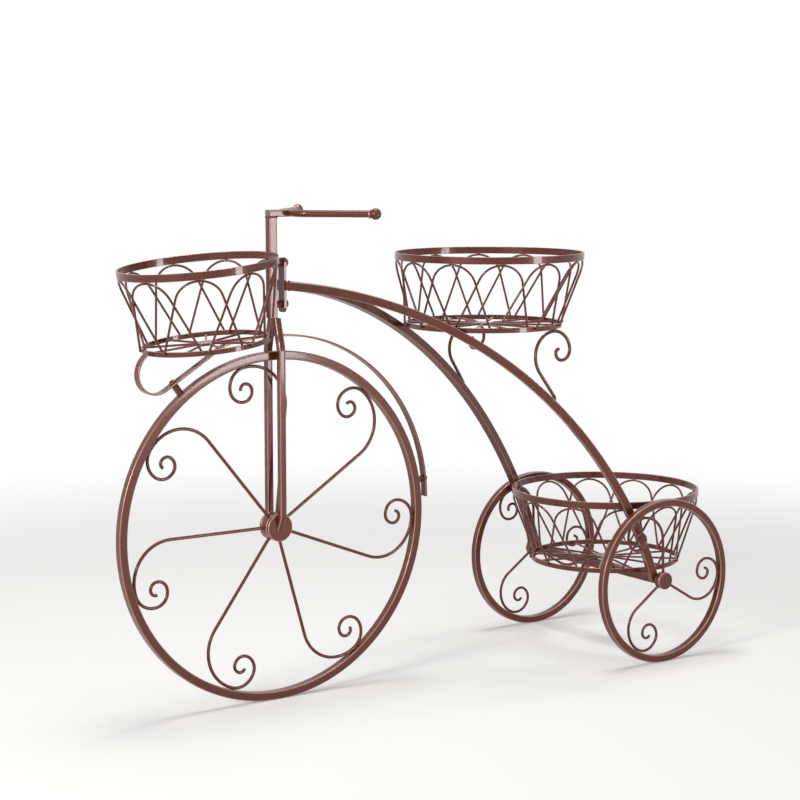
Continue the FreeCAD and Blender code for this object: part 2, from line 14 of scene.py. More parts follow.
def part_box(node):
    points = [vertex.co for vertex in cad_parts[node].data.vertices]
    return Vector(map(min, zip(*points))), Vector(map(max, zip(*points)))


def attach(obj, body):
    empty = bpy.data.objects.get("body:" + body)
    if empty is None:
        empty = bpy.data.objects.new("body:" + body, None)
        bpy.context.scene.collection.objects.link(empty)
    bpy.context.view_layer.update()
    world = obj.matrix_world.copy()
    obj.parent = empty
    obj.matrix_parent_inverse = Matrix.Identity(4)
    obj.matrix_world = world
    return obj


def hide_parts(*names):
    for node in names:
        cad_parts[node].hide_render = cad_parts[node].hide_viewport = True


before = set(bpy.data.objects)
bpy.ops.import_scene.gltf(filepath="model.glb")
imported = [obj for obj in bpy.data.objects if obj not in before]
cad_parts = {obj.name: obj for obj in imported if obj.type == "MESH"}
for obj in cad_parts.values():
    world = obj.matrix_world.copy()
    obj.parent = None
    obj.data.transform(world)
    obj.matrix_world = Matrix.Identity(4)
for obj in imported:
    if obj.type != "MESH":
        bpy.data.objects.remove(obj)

LOG = logging.getLogger("plant_stand")

# Sizes of the stand are in millimetres until a mesh is made from them
MM = 0.001
RIGHT_ANGLE = 90.0
FULL_TURN = 360.0
ORIGIN = Vector((0.0, 0.0, 0.0))
ALONG_X = Vector((1.0, 0.0, 0.0))
ALONG_Y = Vector((0.0, 1.0, 0.0))
UPWARD = Vector((0.0, 0.0, 1.0))

# Places of sockets whose names other sockets of their node have too
MIX_FIRST = 6
MIX_LAST = 7
MIX_RESULT = 2
RANDOM_LEAST = 2
RANDOM_MOST = 3
RANDOM_RESULT = 1

Spot = tuple[float, float]
Range = tuple[float, float]
Triple = tuple[float, float, float]
Colour = tuple[float, float, float, float]
Material = bpy.types.Material
Object = bpy.types.Object
Socket = bpy.types.NodeSocket
Tree = bpy.types.NodeTree


class Body(Enum):
    """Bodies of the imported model."""

    FRAME = "frame"
    LEFT_WHEEL = "rear_wheel_left"
    RIGHT_WHEEL = "rear_wheel_right"


class Mark(Enum):
    """Attributes that a mesh carries for its node tree or its coat."""

    ACROSS = "across"
    BEAD = "bead"
    EDGE = "edge"


class Side(Enum):
    """Sides of the stand, with the sign of Y there."""

    LEFT = -1
    RIGHT = 1

    @property
    def word(self) -> str:
        """Name of the side as the solids use it."""
        return self.name.lower()


def linear(colour: str) -> Colour:
    """Turn an sRGB hex value into a linear colour.

    Args:
        colour: Hex value such as "#6E4A42".

    Returns:
        Red, green, blue and alpha.
    """
    shares = [int(colour[place:place + 2], 16) / 255 for place in (1, 3, 5)]
    red, green, blue = (share / 12.92 if share <= 0.04045 else ((share + 0.055) / 1.055) ** 2.4
                        for share in shares)
    return red, green, blue, 1.0


def per_metre(size: float) -> float:
    """Texture scale that gives features of a size in millimetres."""
    return 1 / (size * MM)


def add_node(tree: Tree, kind: str, inputs: dict[str | int, Any] | None = None, output: str | int = 0,
             **settings: Any) -> Socket | None:
    """Add a node, set its properties and fill its sockets.

    Args:
        tree: Tree that gets the node.
        kind: Blender's name of the node type.
        inputs: Values, or sockets to link from, by the name or the place of the input.
        output: Name or place of the output that is wanted.
        settings: Properties of the node.

    Returns:
        The wanted output, or None on a node without outputs.
    """
    node = tree.nodes.new(kind)
    for name, value in settings.items():
        setattr(node, name, value)
    for key, value in (inputs or {}).items():
        if isinstance(value, Socket):
            tree.links.new(value, node.inputs[key])
        else:
            node.inputs[key].default_value = value
    return node.outputs[output] if len(node.outputs) else None


def empty_tree(owner: Material | bpy.types.World) -> Tree:
    """Clear the node tree of a material or a world.

    Args:
        owner: Material or world.

    Returns:
        Its tree, with no nodes.
    """
    owner.use_nodes = True
    owner.node_tree.nodes.clear()
    return owner.node_tree


def add_object(name: str, data: bpy.types.ID) -> Object:
    """Make an object and put it in the scene.

    Args:
        name: Name of the object.
        data: Mesh, lamp or camera that it shows.

    Returns:
        The object.
    """
    thing = bpy.data.objects.new(name, data)
    bpy.context.scene.collection.objects.link(thing)
    return thing


def corners(node: str) -> tuple[Vector, Vector]:
    """Lowest and highest corner of a solid, in millimetres."""
    low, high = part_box(node)
    return low / MM, high / MM


def middle(node: str) -> Vector:
    """Middle of a solid's box, in millimetres."""
    low, high = corners(node)
    return (low + high) / 2


def wheel_ray(angle: float) -> Vector:
    """Direction in a wheel's plane, in degrees from the rear upwards."""
    turned = math.radians(angle)
    return Vector((math.cos(turned), 0.0, math.sin(turned)))


class Route:
    """Straight runs and tangent arcs on one plane, each starting where the last one ends."""

    least_steps = 2
    arc_step = 5.0
    arc_length_step = 9.0

    def __init__(self, origin: Vector, across: Vector, up: Vector, start: Spot, heading: float = 0.0) -> None:
        """Start a route.

        Args:
            origin: Place of the plane's own zero.
            across: First direction of the plane.
            up: Second direction of the plane.
            start: First spot on the plane.
            heading: Direction of travel in degrees, from across towards up.
        """
        self.origin = origin
        self.across = across
        self.up = up
        self.at = start
        self.heading = heading
        self.spots: list[Spot] = [start]
        self.bends: list[float] = [0.0]
        self.closed = False

    @staticmethod
    def toward(spot: Spot, angle: float, distance: float) -> Spot:
        """Spot at a distance from another one."""
        turned = math.radians(angle)
        return spot[0] + distance * math.cos(turned), spot[1] + distance * math.sin(turned)

    @property
    def normal(self) -> Vector:
        """Direction across the plane."""
        return self.across.cross(self.up).normalized()

    @property
    def points(self) -> list[Vector]:
        """Places of the route, in millimetres."""
        return [self.place(spot) for spot in self.spots]

    def place(self, spot: Spot) -> Vector:
        """Place of a spot on the plane."""
        return self.origin + self.across * spot[0] + self.up * spot[1]

    def run(self, length: float, heading: float | None = None) -> "Route":
        """Go straight on, or off at a corner.

        Args:
            length: Length of the run.
            heading: New direction in degrees, where the route has a corner.

        Returns:
            The route.
        """
        if heading is not None:
            self.heading = heading
        self.at = self.toward(self.at, self.heading, length)
        self.spots.append(self.at)
        self.bends.append(0.0)
        return self

    def turn(self, radius: float, degrees: float) -> "Route":
        """Go round an arc.

        Args:
            radius: Radius of the arc.
            degrees: Angle of the arc, to the left when it is positive.

        Returns:
            The route.
        """
        side = math.copysign(RIGHT_ANGLE, degrees)
        centre = self.toward(self.at, self.heading + side, radius)
        length = abs(math.radians(degrees)) * radius
        steps = max(self.least_steps, math.ceil(abs(degrees) / self.arc_step),
                    math.ceil(length / self.arc_length_step))
        for step in range(1, steps + 1):
            self.spots.append(self.toward(centre, self.heading - side + degrees * step / steps, radius))
            self.bends.append(radius if step < steps else 0.0)
        self.at = self.spots[-1]
        self.heading += degrees
        return self

    def bow_to(self, end: Spot, rise: float) -> "Route":
        """Go round an arc to a spot.

        Args:
            end: Spot where the arc ends.
            rise: How far the arc stands proud of the straight line, on its left.

        Returns:
            The route.
        """
        run = (end[0] - self.at[0], end[1] - self.at[1])
        chord = math.hypot(*run)
        half = 2 * math.atan2(2 * rise, chord)
        self.heading = math.degrees(math.atan2(run[1], run[0]) + half)
        return self.turn(chord / (2 * math.sin(half)), -2 * math.degrees(half))

    def curl(self, radius: float, decay: float, quarters: int, turn: float) -> "Route":
        """Go round turns that tighten into a scroll.

        Args:
            radius: Radius of the first turn.
            decay: Share of the radius that each turn leaves to the next.
            quarters: Number of turns.
            turn: Angle of each turn, to the left when it is positive.

        Returns:
            The route.
        """
        for quarter in range(quarters):
            self.turn(radius * decay ** quarter, turn)
        return self

    def close(self) -> "Route":
        """Join the end, which lies on the start, to the start.

        Returns:
            The route.
        """
        self.spots.pop()
        self.bends.pop()
        self.closed = True
        return self

    def crossing(self, start: Spot, angle: float) -> tuple[Spot, float]:
        """Find the nearest place where a ray meets the route.

        Args:
            start: Start of the ray.
            angle: Direction of the ray in degrees.

        Returns:
            The spot, and its distance from the start.
        """
        ray = self.toward((0.0, 0.0), angle, 1.0)
        nearest = None
        for first, last in zip(self.spots, self.spots[1:]):
            run = (last[0] - first[0], last[1] - first[1])
            offset = (first[0] - start[0], first[1] - start[1])
            spread = ray[0] * run[1] - ray[1] * run[0]
            share = (ray[1] * offset[0] - ray[0] * offset[1]) / spread
            distance = (offset[0] * run[1] - offset[1] * run[0]) / spread
            if 0 <= share <= 1 and distance > 0 and (nearest is None or distance < nearest[1]):
                nearest = (first[0] + run[0] * share, first[1] + run[1] * share), distance
        if nearest is None:
            raise ValueError("the ray misses the route")
        return nearest


def circle_route(centre: Vector, across: Vector, up: Vector, radius: float) -> Route:
    """Closed route round a circle."""
    return Route(centre, across, up, (radius, 0.0), RIGHT_ANGLE).turn(radius, FULL_TURN).close()


def rounded_loop(centre: Vector, across: Vector, up: Vector, width: float, height: float,
                 corner: float) -> Route:
    """Lay a closed route round a rectangle with round corners.

    Args:
        centre: Middle of the rectangle.
        across: Direction of its width.
        up: Direction of its height.
        width: Width of the rectangle.
        height: Height of the rectangle.
        corner: Radius of its corners.

    Returns:
        The route.
    """
    loop = Route(centre, across, up, (width / 2, corner - height / 2), RIGHT_ANGLE)
    for length in (height, width, height, width):
        loop.run(length - 2 * corner)
        loop.turn(corner, RIGHT_ANGLE)
    return loop.close()


@dataclass(frozen=True)
class BronzeCoat:
    """Antique bronze powder coat, sprayed and baked over mild steel.

    The eye sees a brown paint with copper flakes, a fine hammered grain that breaks up the
    gloss, and a warmer, brighter line along each edge: partly where the coat runs thin over
    the edge, partly a painted highlight.
    """

    name: str = "antique_bronze_powder_coat"
    shade: str = "#50251B"
    body: str = "#74392A"
    flake: str = "#A5654D"
    # Colour of the edges: partly the coat running thin, partly a painted highlight
    thin_coat_and_highlight: str = "#BE9080"
    metallic: float = 0.20
    thin_coat_and_highlight_metallic: float = 0.75
    roughness: float = 0.36
    roughness_play: float = 0.1
    sheen: float = 0.20
    coat: float = 0.45
    coat_roughness: float = 0.08
    # The real grain is about half a millimetre; it is drawn coarser so that it shows
    grain: float = 1.0
    grain_detail: float = 3.0
    grain_roughness: float = 0.6
    grain_range: Range = (0.30, 0.70)
    flake_range: Range = (0.58, 0.72)
    flake_cover: float = 0.55
    dimple: float = 3.2
    dimple_blend: float = 0.8
    patch: float = 46.0
    patch_detail: float = 2.0
    patch_range: Range = (0.35, 0.70)
    patch_shade: float = 0.8
    relief: float = 0.07
    relief_strength: float = 0.5

    def material(self) -> Material:
        """Make the coat's material.

        Returns:
            A procedural material on Object coordinates and the mark of edges.
        """
        material = bpy.data.materials.new(self.name)
        tree = empty_tree(material)
        spot = add_node(tree, "ShaderNodeTexCoord", output="Object")
        grain = add_node(tree, "ShaderNodeTexNoise", {
            "Vector": spot, "Scale": per_metre(self.grain), "Detail": self.grain_detail,
            "Roughness": self.grain_roughness})
        dimple = add_node(tree, "ShaderNodeTexVoronoi", {
            "Vector": spot, "Scale": per_metre(self.dimple), "Smoothness": self.dimple_blend},
            feature="SMOOTH_F1")
        patch = add_node(tree, "ShaderNodeTexNoise", {
            "Vector": spot, "Scale": per_metre(self.patch), "Detail": self.patch_detail})
        edge = add_node(tree, "ShaderNodeAttribute", output="Fac", attribute_name=Mark.EDGE.value)

        # How deep the brown is, where flakes lie, and where the edges get the thin coat and the painted
        # highlight
        low, high = self.grain_range
        mottle = add_node(tree, "ShaderNodeMapRange", {"Value": grain, "From Min": low, "From Max": high})
        gloss = add_node(tree, "ShaderNodeMapRange", {
            "Value": grain, "From Min": low, "From Max": high,
            "To Min": self.roughness + self.roughness_play, "To Max": self.roughness - self.roughness_play})
        low, high = self.flake_range
        flakes = add_node(tree, "ShaderNodeMapRange", {
            "Value": grain, "From Min": low, "From Max": high, "To Max": self.flake_cover})
        low, high = self.patch_range
        shading = add_node(tree, "ShaderNodeMapRange", {
            "Value": patch, "From Min": low, "From Max": high, "To Min": self.patch_shade})
        depth = add_node(tree, "ShaderNodeMath", {0: mottle, 1: shading}, operation="MULTIPLY")
        # Edge mark over the patches: where the thin coat and the painted edge highlight go
        worn_and_highlit = add_node(tree, "ShaderNodeMath", {0: edge, 1: shading}, operation="MULTIPLY")

        # Each colour lies over the one before it
        colour: Socket | Colour = linear(self.shade)
        for cover, over in ((depth, self.body), (flakes, self.flake), (worn_and_highlit, self.thin_coat_and_highlight)):
            colour = add_node(tree, "ShaderNodeMix", {
                "Factor": cover, MIX_FIRST: colour, MIX_LAST: linear(over)}, MIX_RESULT, data_type="RGBA")
        metal = add_node(tree, "ShaderNodeMapRange", {
            "Value": worn_and_highlit, "To Min": self.metallic, "To Max": self.thin_coat_and_highlight_metallic})
        relief = add_node(tree, "ShaderNodeMath", {0: grain, 1: dimple}, operation="ADD")
        bump = add_node(tree, "ShaderNodeBump", {
            "Height": relief, "Strength": self.relief_strength, "Distance": self.relief * MM})
        surface = add_node(tree, "ShaderNodeBsdfPrincipled", {
            "Base Color": colour, "Metallic": metal, "Roughness": gloss, "Normal": bump,
            "Specular IOR Level": self.sheen, "Coat Weight": self.coat,
            "Coat Roughness": self.coat_roughness})
        add_node(tree, "ShaderNodeOutputMaterial", {"Surface": surface})
        return material


@dataclass(frozen=True)
class SpringSteel:
    """Plain spring steel of the push-on clips, stamped and left bare.

    The eye sees a grey metal with a fine rolled streak and a dull sheen.
    """

    name: str = "plain_spring_steel"
    dark: str = "#6B6B6E"
    light: str = "#A3A3A6"
    metallic: float = 1.0
    streak: float = 1.2
    streak_detail: float = 3.0
    rolling: Triple = (0.1, 1.0, 1.0)
    roughness: float = 0.38
    roughness_play: float = 0.1

    def material(self) -> Material:
        """Make the steel's material.

        Returns:
            A procedural material on Object coordinates.
        """
        material = bpy.data.materials.new(self.name)
        tree = empty_tree(material)
        spot = add_node(tree, "ShaderNodeTexCoord", output="Object")
        drawn = add_node(tree, "ShaderNodeMapping", {"Vector": spot, "Scale": self.rolling})
        streak = add_node(tree, "ShaderNodeTexNoise", {
            "Vector": drawn, "Scale": per_metre(self.streak), "Detail": self.streak_detail})
        colour = add_node(tree, "ShaderNodeMix", {
            "Factor": streak, MIX_FIRST: linear(self.dark), MIX_LAST: linear(self.light)}, MIX_RESULT,
            data_type="RGBA")
        gloss = add_node(tree, "ShaderNodeMapRange", {
            "Value": streak, "To Min": self.roughness, "To Max": self.roughness + self.roughness_play})
        surface = add_node(tree, "ShaderNodeBsdfPrincipled", {
            "Base Color": colour, "Metallic": self.metallic, "Roughness": gloss})
        add_node(tree, "ShaderNodeOutputMaterial", {"Surface": surface})
        return material


@dataclass
class Workshop:
    """Tools that bend, turn and weld the pieces, all in one coat."""

    coat: Material
    sharp_angle: float = 40.0
    end_angle: float = 60.0
    end_rounding: float = 0.35
    end_segments: int = 2
    edge_bend: float = 1.1
    edge_range: Range = (-0.9, -0.3)
    merge_distance: float = 0.01
    wire_sides: int = 16
    corner_steps: int = 4
    bead_seed: int = 7
    bead_steps: int = 3
    bead_sizes: Range = (0.82, 1.1)
    bead_turn: float = 6.28
    lump: float = 2.4
    lump_detail: float = 1.0
    lump_middle: float = 0.5
    lump_height: float = 0.9
    radii_per_ripple: int = 3
    nut_sides: int = 6
    nut_steps: int = 48
    nut_chamfer: float = 30.0
    nut_inset: float = 0.2

    def __post_init__(self) -> None:
        """Build the node trees."""
        self.wire_tree = self.make_wire_tree()
        self.bar_tree = self.make_bar_tree()
        self.bead_tree = self.make_bead_tree()
        self.seam_tree = self.make_seam_tree()

    @staticmethod
    def new_tree(name: str, sockets: dict[str, str]) -> tuple[Tree, dict[str, Socket]]:
        """Start a node tree.

        Args:
            name: Name of the tree.
            sockets: Kind of each input socket, by its name.

        Returns:
            The tree, and the sockets that give its inputs, by name.
        """
        tree = bpy.data.node_groups.new(name, "GeometryNodeTree")
        for socket, kind in sockets.items():
            tree.interface.new_socket(socket, in_out="INPUT", socket_type=f"NodeSocket{kind}")
        tree.interface.new_socket("Piece", in_out="OUTPUT", socket_type="NodeSocketGeometry")
        given = add_node(tree, "NodeGroupInput").node
        return tree, {socket: given.outputs[socket] for socket in sockets}

    def end_tree(self, tree: Tree, shape: Socket, given: dict[str, Socket]) -> None:
        """Smooth the shape, keep its sharp ends, realize it and give it its material.

        Args:
            tree: Tree to finish.
            shape: Socket of the finished shape.
            given: Sockets that give the tree's inputs.
        """
        whole = add_node(tree, "GeometryNodeRealizeInstances", {"Geometry": shape})
        smooth = add_node(tree, "GeometryNodeSetShadeSmooth", {"Geometry": whole})
        bend = add_node(tree, "GeometryNodeInputMeshEdgeAngle", output="Unsigned Angle")
        sharp = add_node(tree, "FunctionNodeCompare", {0: bend, 1: math.radians(self.sharp_angle)},
                         data_type="FLOAT", operation="GREATER_THAN")
        ends = add_node(tree, "GeometryNodeSetShadeSmooth", {
            "Geometry": smooth, "Selection": sharp, "Shade Smooth": False}, domain="EDGE")
        dressed = add_node(tree, "GeometryNodeSetMaterial", {"Geometry": ends, "Material": given["Material"]})
        add_node(tree, "NodeGroupOutput", {"Piece": dressed})

    def make_wire_tree(self) -> Tree:
        """Make the tree of a round wire along routes, repeated round an axis.

        Returns:
            The tree.
        """
        tree, given = self.new_tree("wire_round_an_axis", {
            "Route": "Geometry", "Diameter": "Float", "Sides": "Int", "Count": "Int", "Centre": "Vector",
            "Axis": "Vector", "Material": "Material"})
        line = add_node(tree, "GeometryNodeMeshToCurve", {"Mesh": given["Route"]})
        radius = add_node(tree, "ShaderNodeMath", {0: given["Diameter"], 1: 2.0}, operation="DIVIDE")
        section = add_node(tree, "GeometryNodeCurvePrimitiveCircle", {
            "Resolution": given["Sides"], "Radius": radius})
        wire = add_node(tree, "GeometryNodeCurveToMesh", {
            "Curve": line, "Profile Curve": section, "Fill Caps": True})
        back = add_node(tree, "ShaderNodeVectorMath", {0: given["Centre"], "Scale": -1.0}, operation="SCALE")
        centred = add_node(tree, "GeometryNodeTransform", {"Geometry": wire, "Translation": back})
        places = add_node(tree, "GeometryNodePoints", {"Count": given["Count"], "Position": given["Centre"]})
        number = add_node(tree, "GeometryNodeInputIndex")
        share = add_node(tree, "ShaderNodeMath", {0: number, 1: given["Count"]}, operation="DIVIDE")
        angle = add_node(tree, "ShaderNodeMath", {0: share, 1: math.radians(FULL_TURN)}, operation="MULTIPLY")
        turn = add_node(tree, "FunctionNodeAxisAngleToRotation", {"Axis": given["Axis"], "Angle": angle})
        copies = add_node(tree, "GeometryNodeInstanceOnPoints", {
            "Points": places, "Instance": centred, "Rotation": turn})
        self.end_tree(tree, copies, given)
        return tree

    def make_bar_tree(self) -> Tree:
        """Make the tree of a bar or strip along routes, with its corners marked as edges.

        Returns:
            The tree.
        """
        tree, given = self.new_tree("bar_along_routes", {
            "Route": "Geometry", "Depth": "Float", "Width": "Float", "Corner": "Float", "Steps": "Int",
            "Material": "Material"})
        line = add_node(tree, "GeometryNodeMeshToCurve", {"Mesh": given["Route"]})
        across = add_node(tree, "GeometryNodeInputNamedAttribute", {"Name": Mark.ACROSS.value},
                          data_type="FLOAT_VECTOR")
        steady = add_node(tree, "GeometryNodeSetCurveNormal", {"Curve": line, "Normal": across}, mode="FREE")
        flat = add_node(tree, "GeometryNodeCurvePrimitiveQuadrilateral", {
            "Width": given["Width"], "Height": given["Depth"]})
        section = add_node(tree, "GeometryNodeFilletCurve", {
            "Curve": flat, "Count": given["Steps"], "Radius": given["Corner"]}, mode="POLY")
        place = add_node(tree, "GeometryNodeInputPosition")
        shares = []
        for axis, size in enumerate(("Width", "Depth")):
            part = add_node(tree, "ShaderNodeSeparateXYZ", {0: place}, axis)
            far = add_node(tree, "ShaderNodeMath", {0: part}, operation="ABSOLUTE")
            inset = add_node(tree, "ShaderNodeMath", {0: given[size], 1: -1 / 2, 2: far},
                             operation="MULTIPLY_ADD")
            shares.append(add_node(tree, "ShaderNodeMath", {0: inset, 1: given["Corner"]},
                                   operation="DIVIDE"))
        near = add_node(tree, "ShaderNodeMath", dict(enumerate(shares)), operation="MINIMUM")
        low, high = self.edge_range
        edge = add_node(tree, "ShaderNodeMapRange", {"Value": near, "From Min": low, "From Max": high})
        marked = add_node(tree, "GeometryNodeStoreNamedAttribute", {
            "Geometry": section, "Name": Mark.EDGE.value, "Value": edge}, data_type="FLOAT", domain="POINT")
        bar = add_node(tree, "GeometryNodeCurveToMesh", {
            "Curve": steady, "Profile Curve": marked, "Fill Caps": True})
        self.end_tree(tree, bar, given)
        return tree

    def lumpy_beads(self, tree: Tree, points: Socket, radius: Socket, given: dict[str, Socket]) -> None:
        """Put lumps of weld on points and finish the tree.

        Args:
            tree: Tree to work in.
            points: Socket of the points.
            radius: Socket of a bead's radius.
            given: Sockets that give the tree's inputs.
        """
        ball = add_node(tree, "GeometryNodeMeshIcoSphere", {"Radius": 1.0, "Subdivisions": self.bead_steps})
        least, most = self.bead_sizes
        share = add_node(tree, "FunctionNodeRandomValue", {
            RANDOM_LEAST: least, RANDOM_MOST: most, "Seed": given["Seed"]}, RANDOM_RESULT, data_type="FLOAT")
        turn = add_node(tree, "FunctionNodeRandomValue", {
            "Min": ORIGIN, "Max": (self.bead_turn,) * 3, "Seed": given["Seed"]}, data_type="FLOAT_VECTOR")
        size = add_node(tree, "ShaderNodeMath", {0: radius, 1: share}, operation="MULTIPLY")
        beads = add_node(tree, "GeometryNodeInstanceOnPoints", {
            "Points": points, "Instance": ball, "Rotation": turn, "Scale": size})
        whole = add_node(tree, "GeometryNodeRealizeInstances", {"Geometry": beads})
        lumps = add_node(tree, "ShaderNodeTexNoise", {
            "Scale": given["Lump Scale"], "Detail": self.lump_detail})
        proud = add_node(tree, "ShaderNodeMath", {0: lumps, 1: self.lump_middle}, operation="SUBTRACT")
        height = add_node(tree, "ShaderNodeMath", {0: proud, 1: given["Lump Height"]}, operation="MULTIPLY")
        outward = add_node(tree, "GeometryNodeInputNormal")
        shift = add_node(tree, "ShaderNodeVectorMath", {0: outward, "Scale": height}, operation="SCALE")
        lumpy = add_node(tree, "GeometryNodeSetPosition", {"Geometry": whole, "Offset": shift})
        self.end_tree(tree, lumpy, given)

    def make_bead_tree(self) -> Tree:
        """Make the tree of single spots of weld, each of its own radius.

        Returns:
            The tree.
        """
        tree, given = self.new_tree("spots_of_weld", {
            "Spots": "Geometry", "Lump Scale": "Float", "Lump Height": "Float", "Seed": "Int",
            "Material": "Material"})
        points = add_node(tree, "GeometryNodeMeshToPoints", {"Mesh": given["Spots"]})
        radius = add_node(tree, "GeometryNodeInputNamedAttribute", {"Name": Mark.BEAD.value},
                          data_type="FLOAT")
        self.lumpy_beads(tree, points, radius, given)
        return tree

    def make_seam_tree(self) -> Tree:
        """Make the tree of seams of weld, laid as overlapping ripples along routes.

        Returns:
            The tree.
        """
        tree, given = self.new_tree("seams_of_weld", {
            "Route": "Geometry", "Radius": "Float", "Spacing": "Float", "Lump Scale": "Float",
            "Lump Height": "Float", "Seed": "Int", "Material": "Material"})
        line = add_node(tree, "GeometryNodeMeshToCurve", {"Mesh": given["Route"]})
        points = add_node(tree, "GeometryNodeCurveToPoints", {"Curve": line, "Length": given["Spacing"]},
                          mode="LENGTH")
        self.lumpy_beads(tree, points, given["Radius"], given)
        return tree

    @staticmethod
    def route_mesh(name: str, routes: Iterable[Route]) -> Object:
        """Make an object of bare edges along routes.

        Args:
            name: Name of the object.
            routes: Routes to follow.

        Returns:
            The object, with the normal of each route's plane as a mark.
        """
        places: list[Vector] = []
        across: list[Vector] = []
        edges: list[tuple[int, int]] = []
        for route in routes:
            first = len(places)
            points = route.points
            places += points
            across += [route.normal] * len(points)
            edges += [(first + step, first + step + 1) for step in range(len(points) - 1)]
            if route.closed:
                edges.append((len(places) - 1, first))
        mesh = bpy.data.meshes.new(name)
        mesh.from_pydata([place * MM for place in places], edges, [])
        layer = mesh.attributes.new(Mark.ACROSS.value, "FLOAT_VECTOR", "POINT")
        layer.data.foreach_set("vector", [share for direction in across for share in direction])
        return add_object(name, mesh)

    def finish(self, rough: Object, tree: Tree, values: dict[str, Any]) -> Object:
        """Run a tree on an object and keep the result as a plain mesh.

        Args:
            rough: Object that carries the tree's input.
            tree: Tree to run.
            values: Values of the tree's inputs, by name.

        Returns:
            A finished object at the origin.
        """
        modifier = rough.modifiers.new(tree.name, "NODES")
        modifier.node_group = tree
        for name, value in {**values, "Material": self.coat}.items():
            modifier[tree.interface.items_tree[name].identifier] = value
        ends = rough.modifiers.new("rounded_ends", "BEVEL")
        ends.width = self.end_rounding * MM
        ends.segments = self.end_segments
        ends.limit_method = "ANGLE"
        ends.angle_limit = math.radians(self.end_angle)
        flat = rough.modifiers.new("flat_faces", "WEIGHTED_NORMAL")
        flat.keep_sharp = True
        graph = bpy.context.evaluated_depsgraph_get()
        mesh = bpy.data.meshes.new_from_object(rough.evaluated_get(graph), preserve_all_data_layers=True,
                                               depsgraph=graph)
        name = rough.name
        bare = rough.data
        bpy.data.objects.remove(rough)
        bpy.data.meshes.remove(bare)
        mesh.name = name
        return add_object(name, mesh)

    def wire(self, name: str, routes: Sequence[Route], diameter: float, count: int = 1,
             centre: Vector = ORIGIN, axis: Vector = UPWARD) -> Object:
        """Bend round wires, and repeat them round an axis.

        Args:
            name: Name of the piece.
            routes: Routes of the wires.
            diameter: Diameter of the wire.
            count: How often the wires are repeated round the axis.
            centre: A place on the axis.
            axis: Direction of the axis.

        Returns:
            The piece.
        """
        return self.finish(self.route_mesh(name, routes), self.wire_tree, {
            "Diameter": diameter * MM, "Sides": self.wire_sides, "Count": count, "Centre": centre * MM,
            "Axis": axis})

    def bar(self, name: str, routes: Sequence[Route], depth: float, width: float, corner: float) -> Object:
        """Bend square bars or strips.

        Args:
            name: Name of the piece.
            routes: Routes of the bars.
            depth: Size of the section in the route's plane.
            width: Size of the section across the route's plane.
            corner: Radius of the section's corners.

        Returns:
            The piece.
        """
        return self.finish(self.route_mesh(name, routes), self.bar_tree, {
            "Depth": depth * MM, "Width": width * MM, "Corner": corner * MM, "Steps": self.corner_steps})

    def beads(self, name: str, spots: Sequence[tuple[Vector, float]]) -> Object:
        """Put spots of weld on joints.

        Args:
            name: Name of the piece.
            spots: Place and radius of each spot.

        Returns:
            The piece.
        """
        mesh = bpy.data.meshes.new(name)
        mesh.from_pydata([place * MM for place, radius in spots], [], [])
        layer = mesh.attributes.new(Mark.BEAD.value, "FLOAT", "POINT")
        layer.data.foreach_set("value", [radius * MM for place, radius in spots])
        return self.finish(add_object(name, mesh), self.bead_tree, {
            "Lump Scale": per_metre(self.lump), "Lump Height": self.lump_height * MM, "Seed": self.bead_seed})

    def seam(self, name: str, routes: Sequence[Route], radius: float) -> Object:
        """Lay seams of weld along joints.

        Args:
            name: Name of the piece.
            routes: Routes of the seams.
            radius: Radius of the seam.

        Returns:
            The piece.
        """
        return self.finish(self.route_mesh(name, routes), self.seam_tree, {
            "Radius": radius * MM, "Spacing": radius * MM, "Lump Scale": per_metre(self.lump),
            "Lump Height": radius * MM / self.radii_per_ripple, "Seed": self.bead_seed})

    @staticmethod
    def skin(form: bmesh.types.BMesh, rings: list[list[bmesh.types.BMVert]], closed: bool) -> None:
        """Lay faces between rows of vertices, and between the last row and the first.

        Args:
            form: Mesh that gets the faces.
            rings: Rows of vertices, all of one length.
            closed: Whether each row ends where it starts.
        """
        count = len(rings[0])
        for ring, following in zip(rings, rings[1:] + rings[:1]):
            for place in range(count if closed else count - 1):
                after = (place + 1) % count
                form.faces.new((ring[place], following[place], following[after], ring[after]))

    def keep(self, name: str, form: bmesh.types.BMesh) -> Object:
        """Close a form, turn its faces outwards and make it a coated piece.

        Args:
            name: Name of the piece.
            form: Mesh in metres.

        Returns:
            The piece.
        """
        bmesh.ops.remove_doubles(form, verts=form.verts, dist=self.merge_distance * MM)
        bmesh.ops.recalc_face_normals(form, faces=form.faces)
        mesh = bpy.data.meshes.new(name)
        form.to_mesh(mesh)
        form.free()
        mesh.polygons.foreach_set("use_smooth", [True] * len(mesh.polygons))
        mesh.set_sharp_from_angle(angle=math.radians(self.sharp_angle))
        mesh.materials.append(self.coat)
        return add_object(name, mesh)

    def turned(self, name: str, profiles: Sequence[tuple[Route, Vector, Vector]], steps: int = 64) -> Object:
        """Turn profiles on a lathe.

        Args:
            name: Name of the piece.
            profiles: For each shape its profile, with the radius across and the length up, the
                place of the profile's zero, and the axis.
            steps: Faces round the axis.

        Returns:
            The piece.
        """
        form = bmesh.new()
        edge = form.verts.layers.float.new(Mark.EDGE.value)
        for profile, start, axis in profiles:
            swing = UPWARD.rotation_difference(axis).to_matrix()
            rings = []
            for step in range(steps):
                turned = math.radians(FULL_TURN * step / steps)
                ring = []
                for (radius, length), bend in zip(profile.spots, profile.bends):
                    spoke = Vector((radius * math.cos(turned), radius * math.sin(turned), length))
                    ring.append(form.verts.new((start + swing @ spoke) * MM))
                    ring[-1][edge] = 1.0 if 0 < bend < self.edge_bend else 0.0
                rings.append(ring)
            self.skin(form, rings, profile.closed)
        return self.keep(name, form)

